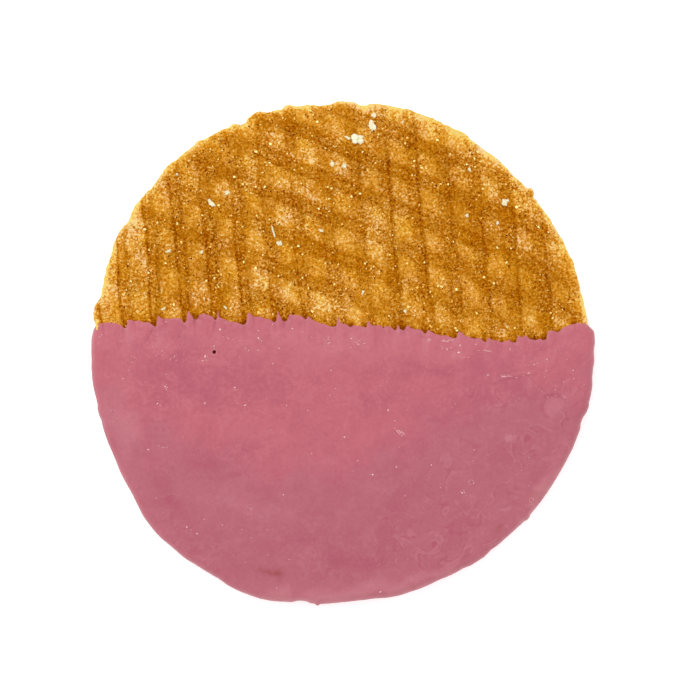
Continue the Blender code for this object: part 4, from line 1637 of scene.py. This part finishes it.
    def bubble_places(self) -> Array:
        """The x, y, half length, half width and turn of each bubble and scratch, in millimetres and degrees.

        Loose ones lie thicker towards the dip edge. Others crowd in the soft ellipses of the
        table "swarms", sit on small rings, or have their own places.
        """
        rng = np.random.default_rng(86)
        x = rng.uniform(-50, 50, 20 * self.bubbles)
        y = rng.uniform(-50, 8, 20 * self.bubbles)
        crowd = 0.16 + 0.5 * rise(y, -30, 4) + 0.25 * fractal_noise(x * MM, y * MM, 9 * MM, 87)
        kept = np.flatnonzero(self.on_coat(x, y) & (rng.uniform(0, 1, len(x)) < crowd))[: self.bubbles]
        size = 0.07 + 0.12 * rng.uniform(0, 1, len(kept)) ** 3
        rows = [np.stack([x[kept], y[kept], size, size, 0 * size], axis=-1)]
        for cx, cy, half_x, half_y, count, length in self.swarms:
            size = rng.uniform(0.06, 0.15, count)
            places = [rng.normal(cx, half_x / 2, count), rng.normal(cy, half_y / 2, count)]
            rows.append(np.stack([*places, size * length, size, rng.uniform(-12, 12, count)], axis=-1))
        for cx, cy, radius, count in self.rings:
            turn = np.linspace(0, 2 * math.pi, count, endpoint=False) + rng.uniform(-0.2, 0.2, count)
            size = rng.uniform(0.07, 0.12, count)
            places = [cx + radius * np.cos(turn), cy + radius * np.sin(turn)]
            rows.append(np.stack([*places, 1.5 * size, size, np.degrees(turn) + 90], axis=-1))
        places = np.concatenate(rows)
        return np.concatenate([places[self.on_coat(places[:, 0], places[:, 1])], np.array(self.marks)])

    def on_coat(self, x: Array, y: Array) -> Array:
        """Whether places in millimetres lie on the coat's face, clear of its edges."""
        inwards = self.coat.outline.at(np.arctan2(y, x)) - np.hypot(x, y) * MM
        return (inwards > 0.3 * MM) & (self.coat.dip.away(x * MM, y * MM, 1.5 * MM, 0.3 * MM) > 0.4 * MM)

    def coat_bubbles_and_glints(self) -> bpy.types.Object:
        """Small bubbles, grains and scratches in the coat's skin, which stand up as low domes; their pale colour is
        partly painted glints.
        """
        places = self.bubble_places()
        x, y = places[:, 0] * MM, places[:, 1] * MM
        flat = 0.8 * np.minimum(places[:, 2], places[:, 3])
        sizes = np.stack([places[:, 2], places[:, 3], flat], axis=-1) * MM
        centres = np.stack([x, y, self.coat.surface(x, y) + 0.1 * sizes[:, 2]], axis=-1)
        tones = np.random.default_rng(93).uniform(0.0, 0.8, len(x))
        # The listed marks are the palest: painted glints.
        tones[-len(self.marks) :] = 1.0
        return scattered("coat_bubbles_and_glints", Pebble(3, 8), centres, sizes, np.radians(places[:, 4]), tones, 88, 0.12)


# --------------------------------------------------------------------------- studio


@dataclass
class Studio:
    """A pale floor, soft light from the upper left and a camera that looks straight down."""

    frame_width: float = 145.6 * MM
    frame_centre: tuple[float, float] = (1.46 * MM, 0.73 * MM)
    camera_height: float = 0.9
    sensor: float = 36.0
    key_power: float = 5.0
    ambient: float = 1.06

    def floor(self) -> None:
        """A level surface just under the biscuit."""
        half = 1.5
        corners = np.array([(-half, -half, 0), (half, -half, 0), (half, half, 0), (-half, half, 0)])
        ground = linked("floor", mesh_of("floor", corners, [np.array([[0, 1, 2, 3]])]))
        ground.data.materials.append(PaperFinish().material())

    def light(self) -> None:
        """One large soft light up to the left, and an even pale surround."""
        lamp = bpy.data.lights.new("key", "AREA")
        lamp.shape = "DISK"
        lamp.size = 0.45
        lamp.energy = self.key_power
        key = bpy.data.objects.new("key", lamp)
        key.location = (-0.28, 0.42, 0.9)
        key.rotation_euler = (-key.location).to_track_quat("-Z", "Y").to_euler()
        bpy.context.scene.collection.objects.link(key)
        world = bpy.data.worlds.new("surround")
        world.use_nodes = True
        background = world.node_tree.nodes["Background"]
        background.inputs["Color"].default_value = (1.0, 1.0, 1.0, 1.0)
        background.inputs["Strength"].default_value = self.ambient
        bpy.context.scene.world = world
        bpy.context.scene.view_settings.view_transform = "Standard"

    def camera(self) -> None:
        """A long lens straight above, whose frame is the given width at the biscuit's upper face."""
        lens = bpy.data.cameras.new("camera")
        lens.sensor_width = self.sensor
        distance = self.camera_height - CAD_BOX[1].z
        lens.lens = self.sensor * distance / self.frame_width
        seen = bpy.data.objects.new("camera", lens)
        seen.location = (*self.frame_centre, self.camera_height)
        bpy.context.scene.collection.objects.link(seen)
        bpy.context.scene.camera = seen


# --------------------------------------------------------------------------- the whole


def dress(piece: bpy.types.Object, finish: bpy.types.Material, slot: str, *nodes: str) -> None:
    """Gives a piece its finish and body, hides the CAD nodes that it stands for, and logs it."""
    piece.data.materials.append(finish)
    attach(piece, BODY)
    if nodes:
        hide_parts(*nodes)
    report(piece)


def main() -> None:
    """Builds the biscuit from the inside out, then its toppings and the studio."""
    logging.basicConfig(level=logging.INFO, format="%(name)s: %(message)s")
    outline, lattice = Outline(), Lattice()
    dip = DipEdge(lattice.steep)
    upper = Wafer("wafer_top", Side.UP, 1, 500, 150, outline, lattice, dip)
    lower = Wafer("wafer_bottom", Side.DOWN, 2, 360, 80, outline, lattice, dip, rim_shift=-0.15 * MM)
    coat = ChocolateCoat("coating", outline, dip, upper)
    toppings = Toppings(upper, coat)
    crust = CrustFinish().material()
    dress(lower.build(), crust, "baked_crust", "wafer_bottom")
    dress(SyrupLayer("syrup", outline).build(), SyrupFinish().material(), "caramel_syrup", "syrup")
    dress(upper.build(), crust, "baked_crust", "wafer_top")
    dress(coat.build(), ChocolateFinish().material(), "pink_chocolate", "coating")
    # Sugar in display colours, brighter than a matt white under the studio light and with no specular: painted glints
    # as well as pale sugar.
    sugar = CreamFinish("sugar_glint_look", display(222, 158, 60), display(240, 226, 150), 0.6, 0.0)
    flakes = CreamFinish("flake_look", lit(255, 214, 140), lit(255, 255, 222), 0.7)
    crumbs = CreamFinish("crumb_and_shadow_look", lit(108, 42, 4), lit(156, 82, 6), 0.6, 0.0)
    bubbles = CreamFinish("bubble_glint_look", lit(220, 130, 142), lit(255, 204, 204), 0.3)
    dress(toppings.sugar(), sugar.material(), "baked_crust")
    dress(toppings.wafer_flakes(), flakes.material(), "baked_crust")
    dress(toppings.burnt_crumbs_and_shadows(), crumbs.material(), "baked_crust")
    dress(toppings.coat_bubbles_and_glints(), bubbles.material(), "pink_chocolate")
    studio = Studio()
    studio.floor()
    studio.light()
    studio.camera()


if __name__ == "__main__":
    main()
